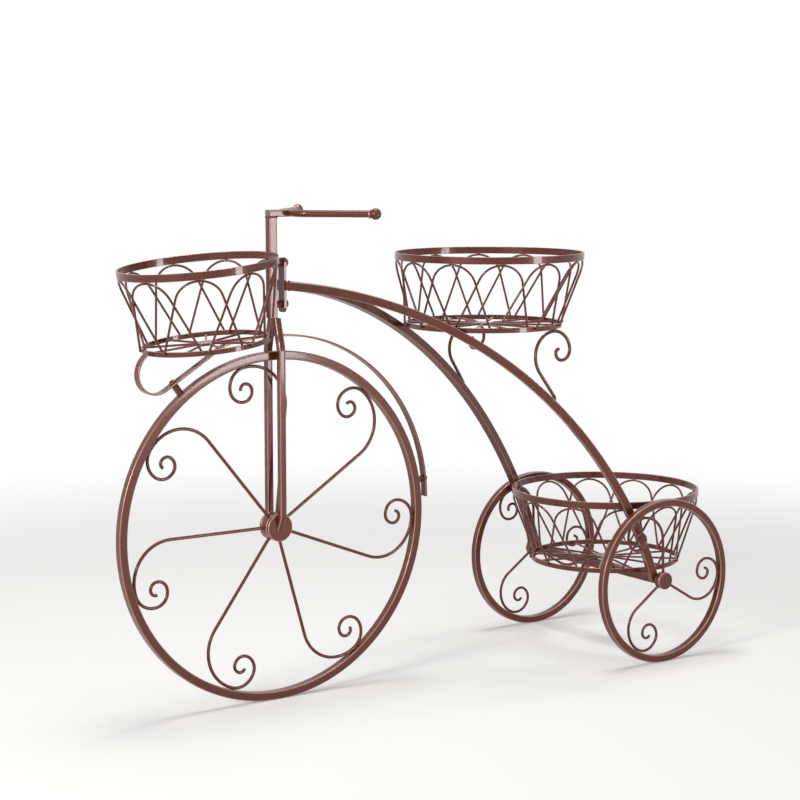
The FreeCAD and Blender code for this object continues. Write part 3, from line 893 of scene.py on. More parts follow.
    def hex_nuts(self, name: str, nuts: Sequence[tuple[Vector, Vector, Vector, float]], flats: float,
                 bore: float) -> Object:
        """Make hexagonal nuts with chamfered ends.

        Args:
            name: Name of the piece.
            nuts: Start, axis, direction of a corner, and length of each nut.
            flats: Size across the flats.
            bore: Radius of the bore.

        Returns:
            The piece.
        """
        form = bmesh.new()
        sector = math.radians(FULL_TURN / self.nut_sides)
        land = flats / 2 - self.nut_inset
        for start, axis, side, length in nuts:
            other = axis.cross(side)
            rings = []
            for step in range(self.nut_steps):
                turned = math.radians(FULL_TURN * step / self.nut_steps)
                offset = turned % sector - sector / 2
                rim = flats / 2 / math.cos(offset)
                chamfer = (rim - flats / 2) * math.tan(math.radians(self.nut_chamfer))
                ray = side * math.cos(turned) + other * math.sin(turned)
                profile = ((bore, 0.0), (land, 0.0), (rim, chamfer), (rim, length - chamfer),
                           (land, length), (bore, length))
                rings.append([form.verts.new((start + ray * radius + axis * height) * MM)
                              for radius, height in profile])
            self.skin(form, rings, True)
        return self.keep(name, form)


def deliver(piece: Object, *nodes: str, body: Body = Body.FRAME) -> None:
    """Put a finished piece on its body and let it stand for its solids.

    Args:
        piece: Finished piece.
        nodes: Solids that it replaces.
        body: Body that it moves with.
    """
    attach(piece, body.value)
    if nodes:
        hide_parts(*nodes)
    LOG.info("%s rides on %s, %d faces", piece.name, body.value, len(piece.data.polygons))


def lathe_route(start: Spot = (0.0, 0.0)) -> Route:
    """Start of a profile for the lathe, with the radius across and the length up."""
    return Route(ORIGIN, ALONG_X, UPWARD, start)


def drum_profile(radius: float, length: float, rounding: float) -> Route:
    """Draw a drum with rounded rims, from the axis to the axis.

    Args:
        radius: Radius of the drum.
        length: Length of the drum.
        rounding: Radius of the rounded rims.

    Returns:
        The profile.
    """
    profile = lathe_route().run(radius - rounding).turn(rounding, RIGHT_ANGLE).run(length - 2 * rounding)
    return profile.turn(rounding, RIGHT_ANGLE).run(radius - rounding)


def grooved_profile(radius: float, lands: Sequence[float], groove: float, depth: float,
                    rounding: float) -> Route:
    """Draw a drum with grooves, from the axis to the axis.

    Args:
        radius: Radius of the drum.
        lands: Lengths of the full drum between the grooves.
        groove: Width of a groove.
        depth: Depth of a groove.
        rounding: Radius of the rounded rims.

    Returns:
        The profile.
    """
    profile = lathe_route().run(radius - depth)
    for number, land in enumerate(lands):
        if number:
            profile.run(groove, RIGHT_ANGLE)
        profile.run(depth - rounding, 0.0).turn(rounding, RIGHT_ANGLE)
        profile.run(land - 2 * rounding).turn(rounding, RIGHT_ANGLE).run(depth - rounding)
    return profile.run(radius - depth)


def sleeve_profile(bore: float, radius: float, length: float, rounding: float) -> Route:
    """Draw a sleeve with rounded outer rims.

    Args:
        bore: Radius of the bore.
        radius: Radius of the sleeve.
        length: Length of the sleeve.
        rounding: Radius of the rounded rims.

    Returns:
        The closed profile.
    """
    profile = lathe_route((bore, 0.0))
    profile.run(radius - rounding - bore).turn(rounding, RIGHT_ANGLE).run(length - 2 * rounding)
    profile.turn(rounding, RIGHT_ANGLE).run(radius - rounding - bore)
    profile.closed = True
    return profile


def bolt_profile(head_radius: float, head_height: float, shank_radius: float, shank_length: float,
                 lips_per_head: int = 6) -> Route:
    """Draw a dome-head bolt, from the end of its shank to the top of its head.

    Args:
        head_radius: Radius of the head.
        head_height: Height of the head.
        shank_radius: Radius of the shank.
        shank_length: Length of the shank.
        lips_per_head: How many times the upright lip under the dome goes into the head's height.

    Returns:
        The profile, with its zero under the head.
    """
    lip = head_height / lips_per_head
    dome = head_height - lip
    dome_radius = (head_radius ** 2 + dome ** 2) / (2 * dome)
    half = math.degrees(math.asin(head_radius / dome_radius))
    profile = lathe_route((0.0, -shank_length)).run(shank_radius).run(shank_length, RIGHT_ANGLE)
    profile.run(head_radius - shank_radius, 0.0).run(lip, RIGHT_ANGLE)
    profile.heading = FULL_TURN / 2 - half
    return profile.turn(dome_radius, half)


@dataclass
class ScrolledWheel:
    """A wheel of a square rim, a drum and wire spokes that end in scrolls."""

    workshop: Workshop
    name: str
    body: Body
    rim_node: str
    hub_node: str
    spoke_node: str
    wire: float
    bend: float
    scroll_radius: float
    first_angle: float
    shifts: tuple[float, ...]
    joint_angle: float
    scroll_decay: float = 0.72
    scroll_quarters: int = 5
    rim_corner: float = 1.4
    seam: float = 0.1
    hub_rounding: float = 0.9
    hub_bite: float = 1.0
    hub_weld_share: float = 0.66
    rim_weld_share: float = 0.62
    flange: float = 3.4
    groove: float = 1.3
    groove_depth: float = 1.7
    joint_bead: float = 0.9
    joint_proud: float = 0.1
    joint_flush: float = 1.15

    def __post_init__(self) -> None:
        """Work out the wheel's sizes from its solids."""
        low, high = corners(self.rim_node)
        self.centre = (low + high) / 2
        self.radius = (high.x - low.x) / 2
        self.bar = high.y - low.y
        low, high = corners(self.hub_node)
        self.hub_radius = (high.x - low.x) / 2
        self.hub_low = low.y
        self.hub_high = high.y

    def spoke_route(self, angle: float) -> tuple[Route, Spot]:
        """Bend one spoke.

        Args:
            angle: Direction of its straight run in degrees.

        Returns:
            Its route, and the spot where it meets the rim.
        """
        contact = self.radius - self.bar - self.wire / 2 - self.seam
        straight = math.sqrt((contact - self.bend) ** 2 - self.bend ** 2)
        start = self.hub_radius - self.hub_bite
        ray = wheel_ray(angle)
        route = Route(self.centre, ALONG_X, UPWARD, (start * ray.x, start * ray.z), angle)
        route.run(straight - start)
        route.turn(self.bend, RIGHT_ANGLE + math.degrees(math.atan2(self.bend, straight)))
        met = route.at
        route.curl(self.scroll_radius, self.scroll_decay, self.scroll_quarters, RIGHT_ANGLE)
        return route, met

    def build_rim(self) -> None:
        """Bend the rim, and close it with a weld that is ground flush on the tread."""
        rim = circle_route(self.centre, ALONG_X, UPWARD, self.radius - self.bar / 2)
        deliver(self.workshop.bar(f"{self.name}_rim", [rim], self.bar, self.bar, self.rim_corner),
                self.rim_node, body=self.body)
        ray = wheel_ray(self.joint_angle)
        loop = rounded_loop(self.centre + ray * (self.radius - self.bar / 2), ray, ALONG_Y,
                            self.bar - 2 * self.joint_flush,
                            self.bar - 2 * (self.joint_bead - self.joint_proud), self.rim_corner)
        deliver(self.workshop.seam(f"{self.name}_rim_joint", [loop], self.joint_bead), body=self.body)

    def build_spokes(self) -> None:
        """Bend the spokes, and weld them to hub and rim."""
        routes = []
        spots = []
        for number, shift in enumerate(self.shifts):
            route, met = self.spoke_route(self.first_angle + FULL_TURN * number / len(self.shifts) + shift)
            routes.append(route)
            for spot, reach, share in ((met, self.wire / 2, self.rim_weld_share),
                                       (route.spots[0], self.hub_bite, self.hub_weld_share)):
                place = Vector((spot[0], 0.0, spot[1])) * (1 + reach / math.hypot(*spot))
                spots.append((self.centre + place, self.wire * share))
        nodes = [f"{self.spoke_node}_{number + 1}" for number in range(len(routes))]
        deliver(self.workshop.wire(f"{self.name}_spokes", routes, self.wire), *nodes, body=self.body)
        deliver(self.workshop.beads(f"{self.name}_spoke_welds", spots), body=self.body)

    def build_hub(self) -> None:
        """Turn the drum of a wheel that doesn't roll, with a groove behind each flange."""
        start = Vector((self.centre.x, self.hub_low, self.centre.z))
        land = self.hub_high - self.hub_low - 2 * (self.flange + self.groove)
        drum = grooved_profile(self.hub_radius, (self.flange, land, self.flange), self.groove,
                               self.groove_depth, self.hub_rounding)
        deliver(self.workshop.turned(f"{self.name}_drum", [(drum, start, ALONG_Y)]), self.hub_node,
                body=self.body)

    def build(self) -> None:
        """Build the whole wheel."""
        self.build_rim()
        self.build_spokes()
        self.build_hub()


@dataclass
class RollingWheel(ScrolledWheel):
    """A rear wheel, whose drum has a bore for the axle and a cap outside."""

    side: Side = Side.LEFT
    cap_node: str = ""
    bore: float = 3.55
    cap_rounding: float = 0.5

    def build_hub(self) -> None:
        """Turn the bored drum and its cap."""
        outward = ALONG_Y * self.side.value
        inner = min(abs(self.hub_low), abs(self.hub_high)) * self.side.value
        outer = max(abs(self.hub_low), abs(self.hub_high)) * self.side.value
        low, high = corners(self.cap_node)
        sleeve = sleeve_profile(self.bore, self.hub_radius, self.hub_high - self.hub_low, self.hub_rounding)
        cap = drum_profile((high.x - low.x) / 2, high.y - low.y, self.cap_rounding)
        for piece, profile, start, node in (("drum", sleeve, inner, self.hub_node),
                                            ("cap", cap, outer, self.cap_node)):
            place = Vector((self.centre.x, start, self.centre.z))
            deliver(self.workshop.turned(f"{self.name}_{piece}", [(profile, place, outward)]), node,
                    body=self.body)


@dataclass
class Fork:
    """Two square blades, welded to the front hub and leaning together under the steerer."""

    workshop: Workshop
    hub: Vector
    corner: float = 1.6
    bend_height: float = 402.0
    bend_radius: float = 30.0
    top_spread: float = 4.5
    top_lap: float = 0.6
    foot_sink: float = 7.8
    foot_lean: float = 26.0
    foot_bend: float = 12.0
    foot_rise: float = 16.0

    def __post_init__(self) -> None:
        """Work out the blades' sizes from their solids."""
        low, high = corners("fork_blade_right")
        self.bar = high.x - low.x
        self.rise = high.z - self.bend_height
        self.spread = high.y - self.bar / 2
        self.lean = math.degrees(math.atan2(self.spread - self.top_spread, self.rise))

    def build(self) -> None:
        """Bend both blades, with feet that sink into the hub's flanges."""
        reach = self.bend_radius * math.tan(math.radians(self.lean / 2))
        lean = math.radians(self.foot_lean)
        slope = (self.foot_sink - self.foot_bend * (1 - math.cos(lean))) / math.sin(lean)
        foot = self.hub.z + self.foot_rise - slope * math.cos(lean) - self.foot_bend * math.sin(lean)
        for side in Side:
            blade = Route(Vector((self.hub.x, 0.0, 0.0)), ALONG_Y * side.value, UPWARD,
                          (self.spread - self.foot_sink, foot), RIGHT_ANGLE - self.foot_lean)
            blade.run(slope).turn(self.foot_bend, self.foot_lean)
            blade.run(self.bend_height - reach - blade.at[1]).turn(self.bend_radius, self.lean)
            blade.run(self.rise / math.cos(math.radians(self.lean)) - reach - self.top_lap)
            node = f"fork_blade_{side.word}"
            deliver(self.workshop.bar(f"{node}_coated", [blade], self.bar, self.bar, self.corner), node)


@dataclass
class Head:
    """Steerer, stem and handlebar, and the screws that hold the plate of the frame bars."""

    workshop: Workshop
    steerer_corner: float = 1.2
    stem_corner: float = 1.5
    rod: float = 8.0
    centre_length: float = 20.0
    bend: float = 25.0
    sweep: float = 46.0
    grip: float = 76.0
    ball_radius: float = 6.5
    collar_radius: float = 5.2
    collar_width: float = 2.4
    collar_rounding_share: float = 0.9
    screw_heights: tuple[float, float] = (452.4, 498.5)
    screw_head_height: float = 5.5
    screw_head_radius: float = 6.0
    screw_radius: float = 2.0
    nut_flats: float = 8.0
    screw_end: float = 3.5
    weld: float = 1.3
    stem_weld_share: float = 0.7

    def __post_init__(self) -> None:
        """Find the steerer and the stem."""
        self.steerer_low, self.steerer_high = corners("steerer_tube")
        self.stem_low, self.stem_high = corners("stem")
        self.bar_middle = Vector((self.stem_high.x, 0.0, (self.stem_low.z + self.stem_high.z) / 2))

    def build_stem(self) -> None:
        """Cut the stem."""
        low, high = self.stem_low, self.stem_high
        stem = Route(Vector((low.x, 0.0, self.bar_middle.z)), ALONG_X, UPWARD, (0.0, 0.0))
        stem.run(high.x - low.x)
        deliver(self.workshop.bar("stem_coated", [stem], high.z - low.z, high.y - low.y, self.stem_corner),
                "stem")

    def build_handlebar(self) -> None:
        """Bend the handlebar, and turn a collar and a ball for each end."""
        swept = math.radians(self.sweep)
        end = (-self.centre_length / 2 - self.bend * math.sin(swept) - self.grip * math.cos(swept),
               self.bend * (1 - math.cos(swept)) + self.grip * math.sin(swept))
        bars = Route(self.bar_middle, ALONG_Y, ALONG_X, end, -self.sweep)
        bars.run(self.grip).turn(self.bend, self.sweep).run(self.centre_length)
        bars.turn(self.bend, self.sweep).run(self.grip)
        deliver(self.workshop.wire("handlebar_coated", [bars], self.rod), "handlebar")
        half = self.collar_width / 2
        collar = sleeve_profile(self.rod / 2 - half, self.collar_radius, self.collar_width,
                                half * self.collar_rounding_share)
        ball = lathe_route((0.0, -self.ball_radius)).turn(self.ball_radius, FULL_TURN / 2)
        turned = []
        for side in Side:
            grip_end = self.bar_middle + ALONG_Y * (side.value * abs(end[0])) + ALONG_X * end[1]
            outward = ALONG_Y * (side.value * math.cos(swept)) + ALONG_X * math.sin(swept)
            turned += [(ball, grip_end, outward),
                       (collar, grip_end - outward * (self.ball_radius + half), outward)]
        deliver(self.workshop.turned("handlebar_ends", turned), "handlebar_balls")

    def build_steerer(self) -> None:
        """Cut the steerer, and weld the stem to its top."""
        low, high = self.steerer_low, self.steerer_high
        ring = rounded_loop(Vector((low.x + high.x, 0.0, 2 * high.z)) / 2, ALONG_X, ALONG_Y, high.x - low.x,
                            high.y - low.y, self.weld)
        deliver(self.workshop.seam("stem_weld", [ring], self.weld * self.stem_weld_share))
        tube = Route(middle("steerer_tube"), ALONG_X, UPWARD, (0.0, (low.z - high.z) / 2), RIGHT_ANGLE)
        tube.run(high.z - low.z)
        deliver(self.workshop.bar("steerer_coated", [tube], high.x - low.x, high.y - low.y,
                                  self.steerer_corner), "steerer_tube")

    def build_screws(self) -> None:
        """Turn the dome screws and make the spacer nuts between plate and steerer."""
        plate_low, plate_high = corners("head_plate")
        steerer_rear = self.steerer_high.x
        bolt = bolt_profile(self.screw_head_radius, self.screw_head_height, self.screw_radius,
                            plate_high.x - steerer_rear + self.screw_end)
        screws = [(bolt, Vector((plate_high.x, 0.0, height)), ALONG_X) for height in self.screw_heights]
        deliver(self.workshop.turned("head_screws_coated", screws), "head_screws")
        nuts = [(Vector((steerer_rear, 0.0, height)), ALONG_X, ALONG_Y, plate_low.x - steerer_rear)
                for height in self.screw_heights]
        deliver(self.workshop.hex_nuts("head_nuts_coated", nuts, self.nut_flats, self.screw_radius),
                "head_nuts")

    def build(self) -> None:
        """Build the whole head; the plate keeps its solid."""
        self.build_stem()
        self.build_handlebar()
        self.build_steerer()
        self.build_screws()


@dataclass
class FrameBars:
    """Two bowed square tubes from the head plate to the rear axle, and the axle."""

    workshop: Workshop
    bar: float = 10.0
    corner: float = 1.0
    head_height: float = 473.3
    head_spread: float = 5.6
    rear_spread: float = 114.5
    bow: float = 90.8
    lean: float = 5.0
    plate_lap: float = 1.4
    weld: float = 1.3
    axle_weld_share: float = 1.2
    weld_shares: tuple[float, ...] = (-0.5, -0.25, 0.0, 0.25, 0.5)
    axle_bar: float = 10.0
    axle_corner: float = 0.8
    pin_radius: float = 3.5
    pin_rounding: float = 0.5
    side_play: float = 0.3

    def __post_init__(self) -> None:
        """Work out where the bars start and end."""
        self.axle_low, self.axle_high = corners("rear_axle")
        self.axle = middle("rear_axle")
        self.plate_rear = corners("head_plate")[1].x
        self.routes = {side: self.route(side) for side in Side}

    def route(self, side: Side) -> Route:
        """Bow one bar, on a plane that leans outwards.

        Args:
            side: Which bar.

        Returns:
            Its route, from the head plate to the axle.
        """
        head = Vector((self.plate_rear - self.bar / 2, side.value * self.head_spread, self.head_height))
        rear = Vector((self.axle_low.x, side.value * self.rear_spread, self.axle.z))
        along = (rear - head).normalized()
        over = (UPWARD - along * UPWARD.dot(along)).normalized()
        outward = along.cross(over) * -side.value
        lean = math.radians(self.lean)
        route = Route(head, along, over * math.cos(lean) + outward * math.sin(lean), (0.0, 0.0))
        return route.bow_to(((rear - head).length, 0.0), self.bow)

    def on_bar(self, side: Side, share: float) -> tuple[Vector, Vector]:
        """Find a place along a bar.

        Args:
            side: Which bar.
            share: Share of the way from the head plate to the axle.

        Returns:
            The place on the bar's middle line, and the direction out of the bow.
        """
        route = self.routes[side]
        chord = route.spots[-1][0]
        half = 2 * math.atan2(2 * self.bow, chord)
        radius = chord / (2 * math.sin(half))
        centre = (chord / 2, self.bow - radius)
        angle = math.degrees(half) * (1 - 2 * share) + RIGHT_ANGLE
        place = route.place(Route.toward(centre, angle, radius))
        return place, (place - route.place(centre)).normalized()

    def build_bars(self) -> None:
        """Bend both bars, cut their heads to the plate, and weld their ends."""
        spots = []
        for side, route in self.routes.items():
            start = self.plate_rear - self.plate_lap
            cut = (start - route.points[0].x) / (route.points[1].x - route.points[0].x)
            first, second = route.spots[:2]
            route.spots[0] = (first[0] + (second[0] - first[0]) * cut,
                              first[1] + (second[1] - first[1]) * cut)
            node = f"frame_bar_{side.word}"
            deliver(self.workshop.bar(f"{node}_coated", [route], self.bar, self.bar, self.corner), node)
            rear = route.points[-1]
            spots += [(rear + ALONG_Y * (share * self.bar) + UPWARD * (self.bar / 2),
                       self.weld * self.axle_weld_share) for share in self.weld_shares]
            head = Vector((self.plate_rear, route.points[0].y, route.points[0].z))
            outward = ALONG_Y * (side.value * self.bar / 2)
            spots += [(head + (UPWARD * (share * self.bar) + outward), self.weld)
                      for share in self.weld_shares]
        deliver(self.workshop.beads("frame_bar_welds", spots))

    def build_axle(self) -> None:
        """Cut the square axle and turn the pins of its ends."""
        half = corners("rear_hub_right")[0].y - self.side_play
        axle = Route(self.axle, ALONG_Y, UPWARD, (-half, 0.0)).run(2 * half)
        deliver(self.workshop.bar("rear_axle_coated", [axle], self.axle_bar, self.axle_bar,
                                  self.axle_corner), "rear_axle")
        pin = drum_profile(self.pin_radius, self.axle_high.y - self.axle_low.y, self.pin_rounding)
        start = Vector((self.axle.x, self.axle_low.y, self.axle.z))
        deliver(self.workshop.turned("rear_axle_pins", [(pin, start, ALONG_Y)]))

    def build(self) -> None:
        """Build the bars and the axle."""
        self.build_bars()
        self.build_axle()


@dataclass
class Basket:
    """An open basket of two flat hoops, interlaced wire arches and a floor of wires."""

    workshop: Workshop
    name: str
    radius: float
    base_radius: float
    height: float
    hoop: float
    base_hoop: float
    arches: int
    setback: float = 0.0
    tilt: float = 0.0
    thickness: float = 2.4
    hoop_corner: float = 0.5
    wire: float = 2.6
    arch_play: float = 0.6
    foot_lap: float = 1.5
    foot_inset: float = 4.0
    foot_weld_share: float = 0.68
    crown_share: float = 0.62
    crown_weld_share: float = 0.6
    floor_weld_share: float = 0.62
    disc_radius: float = 11.0
    disc_height: float = 3.4
    seam: float = 0.1

    def __post_init__(self) -> None:
        """Work out where the basket stands from its base hoop, and lay out its wires."""
        self.turn = Matrix.Rotation(math.radians(-self.tilt), 3, ALONG_Y)
        self.base = middle(self.node("base_ring")) - self.turn @ (UPWARD * (self.base_hoop / 2))
        self.across = self.turn @ ALONG_X
        self.up = self.turn @ UPWARD
        self.pitch = FULL_TURN / self.arches
        self.arch_routes = [self.arch(self.pitch * number) for number in range(self.arches)]
        self.floor_height = self.base_hoop / 2
        self.floor_reach = self.base_radius - self.thickness - self.seam

    def node(self, piece: str) -> str:
        """Name of one of the basket's solids."""
        return f"{self.name}_basket_{piece}"

    def place(self, spot: Vector) -> Vector:
        """Place of a spot in the basket's own frame."""
        return self.base + self.turn @ spot

    @staticmethod
    def around(radius: float, angle: float, height: float) -> Vector:
        """Spot at a radius and a height, at an angle round the basket."""
        turned = math.radians(angle)
        return Vector((radius * math.cos(turned), radius * math.sin(turned), height))

    @staticmethod
    def tangent_leg(ahead: float, height: float, radius: float) -> tuple[float, float]:
        """Work out a leg that ends tangent to a circle.

        Args:
            ahead: Distance to the circle's middle along the ground.
            height: Height of the circle's middle.
            radius: Radius of the circle.

        Returns:
            The leg's climb in degrees, and its length.
        """
        reach = math.hypot(ahead, height)
        climb = math.atan2(height, ahead) + math.asin(radius / reach)
        return math.degrees(climb), math.sqrt(reach ** 2 - radius ** 2)

    def arch(self, angle: float) -> Route:
        """Bend one arch, from outside the base hoop over its top to inside the hoop.

        Args:
            angle: Place of its top round the basket, in degrees.

        Returns:
            Its route.
        """
        base_middle = self.base_radius - self.thickness / 2
        foot_height = self.base_hoop - self.foot_lap
        slope = (self.radius - self.base_radius) / self.height
        foot_offset = (self.thickness + self.wire) / 2 + self.arch_play
        apex_height = self.height - self.hoop - self.wire / 2 - self.seam
        reach = self.pitch - math.degrees(self.foot_inset / base_middle)
        first = self.around(base_middle + foot_offset, angle - reach, foot_height)
        last = self.around(base_middle - foot_offset - self.foot_lap * slope, angle + reach, foot_height)
        apex = self.around(self.radius - self.thickness, angle, apex_height) + ALONG_X * self.setback
        across = (last - first).normalized()
        ahead = (apex - first).dot(across)
        rise = apex - first - across * ahead
        width = (last - first).length
        crown = self.crown_share * width / 2
        climb, leg = self.tangent_leg(ahead, rise.length - crown, crown)
        descent, last_leg = self.tangent_leg(width - ahead, rise.length - crown, crown)
        route = Route(self.place(first), self.turn @ across, self.turn @ rise.normalized(), (0.0, 0.0), climb)
        return route.run(leg).turn(crown, -climb - descent).run(last_leg)

    def build_hoops(self) -> None:
        """Roll both hoops."""
        top = self.place(Vector((self.setback, 0.0, self.height - self.hoop / 2)))
        base = self.place(UPWARD * (self.base_hoop / 2))
        for piece, centre, radius, width in (("top_ring", top, self.radius, self.hoop),
                                             ("base_ring", base, self.base_radius, self.base_hoop)):
            route = circle_route(centre, self.across, self.turn @ ALONG_Y, radius - self.thickness / 2)
            deliver(self.workshop.bar(self.node(f"{piece}_coated"), [route], self.thickness, width,
                                      self.hoop_corner), self.node(piece))

    def build_wires(self) -> None:
        """Bend the arches, and lay the floor of wires round a disc."""
        deliver(self.workshop.wire(self.node("arches_coated"), self.arch_routes, self.wire),
                self.node("arches"))
        floor = self.place(UPWARD * self.floor_height)
        ray = self.turn @ self.around(1.0, self.pitch / 2, 0.0)
        wires = Route(floor, ray, self.up, (self.disc_radius / 2, 0.0))
        wires.run(self.floor_reach - self.disc_radius / 2)
        deliver(self.workshop.wire(self.node("floor_wires"), [wires], self.wire, self.arches, floor, self.up))
        disc = drum_profile(self.disc_radius, self.disc_height, self.hoop_corner)
        start = self.place(UPWARD * (self.floor_height - self.disc_height / 2))
        deliver(self.workshop.turned(self.node("floor_disc"), [(disc, start, self.up)]),
                self.node("base_grid"))

    def build_welds(self) -> None:
        """Weld the arches and the floor to the hoops."""
        spots = []
        for number, route in enumerate(self.arch_routes):
            points = route.points
            apex = max(points, key=lambda point: point.dot(self.up))
            floor_end = self.around(self.floor_reach, self.pitch * (number + 1 / 2), self.floor_height)
            spots += [(points[0], self.wire * self.foot_weld_share),
                      (points[-1], self.wire * self.foot_weld_share),
                      (apex + self.up * (self.wire / 2), self.wire * self.crown_weld_share),
                      (self.place(floor_end), self.wire * self.floor_weld_share)]
        deliver(self.workshop.beads(self.node("welds"), spots))

    def build(self) -> None:
        """Build the whole basket."""
        self.build_hoops()
        self.build_wires()
        self.build_welds()


@dataclass
class TopBrackets:
    """Two wire scrolls between the frame bars and the top basket."""

    workshop: Workshop
    bars: FrameBars
    basket: Basket
    wire: float = 4.0
    bar_share: float = 0.575
    heading: float = 124.0
    bend: float = 31.0
    scroll_radius: float = 21.5
    decay: float = 0.62
    quarters: int = 4
    foot_weld_share: float = 0.7
    hoop_weld_share: float = 0.6
    seam: float = 0.1

    def build(self) -> None:
        """Bend both scrolls and weld them."""
        spots = []
        for side in Side:
            on_bar, out_of_bar = self.bars.on_bar(side, self.bar_share)
            foot = on_bar + out_of_bar * ((self.bars.bar + self.wire) / 2 + self.seam)
            rise = self.basket.base.z - self.wire / 2 - self.seam - foot.z
            climb = math.radians(self.heading)
            bend_rise = self.bend * (1 - math.cos(climb))
            run = (rise - bend_rise) / math.sin(climb)
            contact_x = foot.x + run * math.cos(climb) + self.bend * math.sin(climb) - self.basket.base.x
            hoop_middle = self.basket.base_radius - self.basket.thickness / 2
            contact_y = math.sqrt(hoop_middle ** 2 - contact_x ** 2)
            lean = math.atan2(abs(foot.y) - contact_y, rise)
            up = UPWARD * math.cos(lean) - ALONG_Y * (side.value * math.sin(lean))
            route = Route(foot, ALONG_X, up, (0.0, 0.0), self.heading)
            route.run((rise / math.cos(lean) - bend_rise) / math.sin(climb)).turn(self.bend, -self.heading)
            met = route.place(route.at)
            route.curl(self.scroll_radius, self.decay, self.quarters, -RIGHT_ANGLE)
            node = f"top_bracket_{side.word}"
            deliver(self.workshop.wire(f"{node}_coated", [route], self.wire), node)
            spots += [(foot - out_of_bar * (self.wire / 2), self.wire * self.foot_weld_share),
                      (met + UPWARD * (self.wire / 2), self.wire * self.hoop_weld_share)]
        deliver(self.workshop.beads("top_bracket_welds", spots))


@dataclass
class RimStrips:
    """Mudguard and basket support, two flat strips that bolts with spacer nuts tie to the front rim."""

    workshop: Workshop
    wheel: ScrolledWheel
    fork: Fork
    basket: Basket
    thickness: float = 2.2
    width: float = 10.0
    corner: float = 0.6
    end_gap: float = 7.0
    end_angle: float = 4.0
    bow: float = 61.0
    mudguard_bolt_angle: float = 10.0
    support_bolt_angle: float = 127.0
    support_heading: float = 213.4
    support_curl: float = 27.3
    support_turn: float = 56.6
    foot_curl: float = 21.5
    foot_turn: float = 121.3
    rise_bend: float = 50.0
    bolt_radius: float = 2.0
    bolt_grip: float = 5.5
    bolt_steps: int = 40
    head_radius: float = 4.2
    head_height: float = 3.0
    nut_flats: float = 7.0
    seam: float = 0.1
    probe: float = 0.5

    def mudguard_route(self) -> Route:
        """Bow the mudguard, from between the fork blades round the rear of the front wheel.

        Returns:
            Its route.
        """
        lean = math.radians(self.fork.lean)
        clearance = self.fork.spread - self.fork.bar / 2 / math.cos(lean) - self.width / 2 - self.seam
        top = self.fork.bend_height + clearance / math.tan(lean) - self.thickness
        end = wheel_ray(self.end_angle) * (self.wheel.radius + self.end_gap)
        route = Route(self.wheel.centre, ALONG_X, UPWARD, (0.0, top - self.wheel.radius))
        return route.bow_to((end.x, end.z), self.bow)

    def support_route(self) -> Route:
        """Curl the support, from the front of the basket's base hoop and back under its rear.

        Returns:
            Its route.
        """
        basket = self.basket
        front = basket.place(Vector((-basket.base_radius - self.thickness, 0.0, basket.base_hoop / 2)))
        under = basket.place(Vector((basket.base_radius, 0.0, -self.thickness / 2 - self.seam)))
        route = Route(self.wheel.centre, ALONG_X, UPWARD,
                      (front.x - self.wheel.centre.x, front.z - self.wheel.centre.z), self.support_heading)
        route.turn(self.support_curl, self.support_turn).turn(self.foot_curl, self.foot_turn)
        climb = math.radians(route.heading - FULL_TURN - basket.tilt)
        rise = (under - route.place(route.at)).dot(basket.up)
        route.run((rise - self.rise_bend * (1 - math.cos(climb))) / math.sin(climb))
        route.turn(self.rise_bend, -math.degrees(climb))
        return route.run((under - route.place(route.at)).dot(basket.across))

    def build(self) -> None:
        """Bend both strips and bolt them to the rim."""
        bolts = []
        nuts = []
        for name, route, angle in (("mudguard", self.mudguard_route(), self.mudguard_bolt_angle),
                                   ("basket_support_scroll", self.support_route(), self.support_bolt_angle)):
            deliver(self.workshop.bar(f"{name}_coated", [route], self.thickness, self.width, self.corner),
                    name)
            crossing, distance = route.crossing((0.0, 0.0), angle)
            beside, _ = route.crossing((0.0, 0.0), angle + self.probe)
            ray = wheel_ray(angle)
            run = Vector((beside[0] - crossing[0], 0.0, beside[1] - crossing[1])).normalized()
            slant = abs(run.dot(ray))
            seat = distance + self.thickness / 2 + self.seam + slant * self.head_radius
            reach = seat - self.wheel.radius + self.bolt_grip
            bolt = bolt_profile(self.head_radius, self.head_height, self.bolt_radius, reach)
            bolts.append((bolt, self.wheel.centre + ray * seat, ray))
            nuts.append((self.wheel.centre + ray * self.wheel.radius, ray, ALONG_Y,
                         distance - self.thickness / 2 - self.seam - slant * self.nut_flats
                         - self.wheel.radius))
        deliver(self.workshop.turned("rim_bolts_coated", bolts, self.bolt_steps), "rim_bolts")
        deliver(self.workshop.hex_nuts("rim_nuts_coated", nuts, self.nut_flats, self.bolt_radius), "rim_nuts")


@dataclass(frozen=True)
class Lamp:
    """A soft square lamp, with its place and side in metres and its power in watts."""

    name: str
    place: Triple
    size: float
    power: float


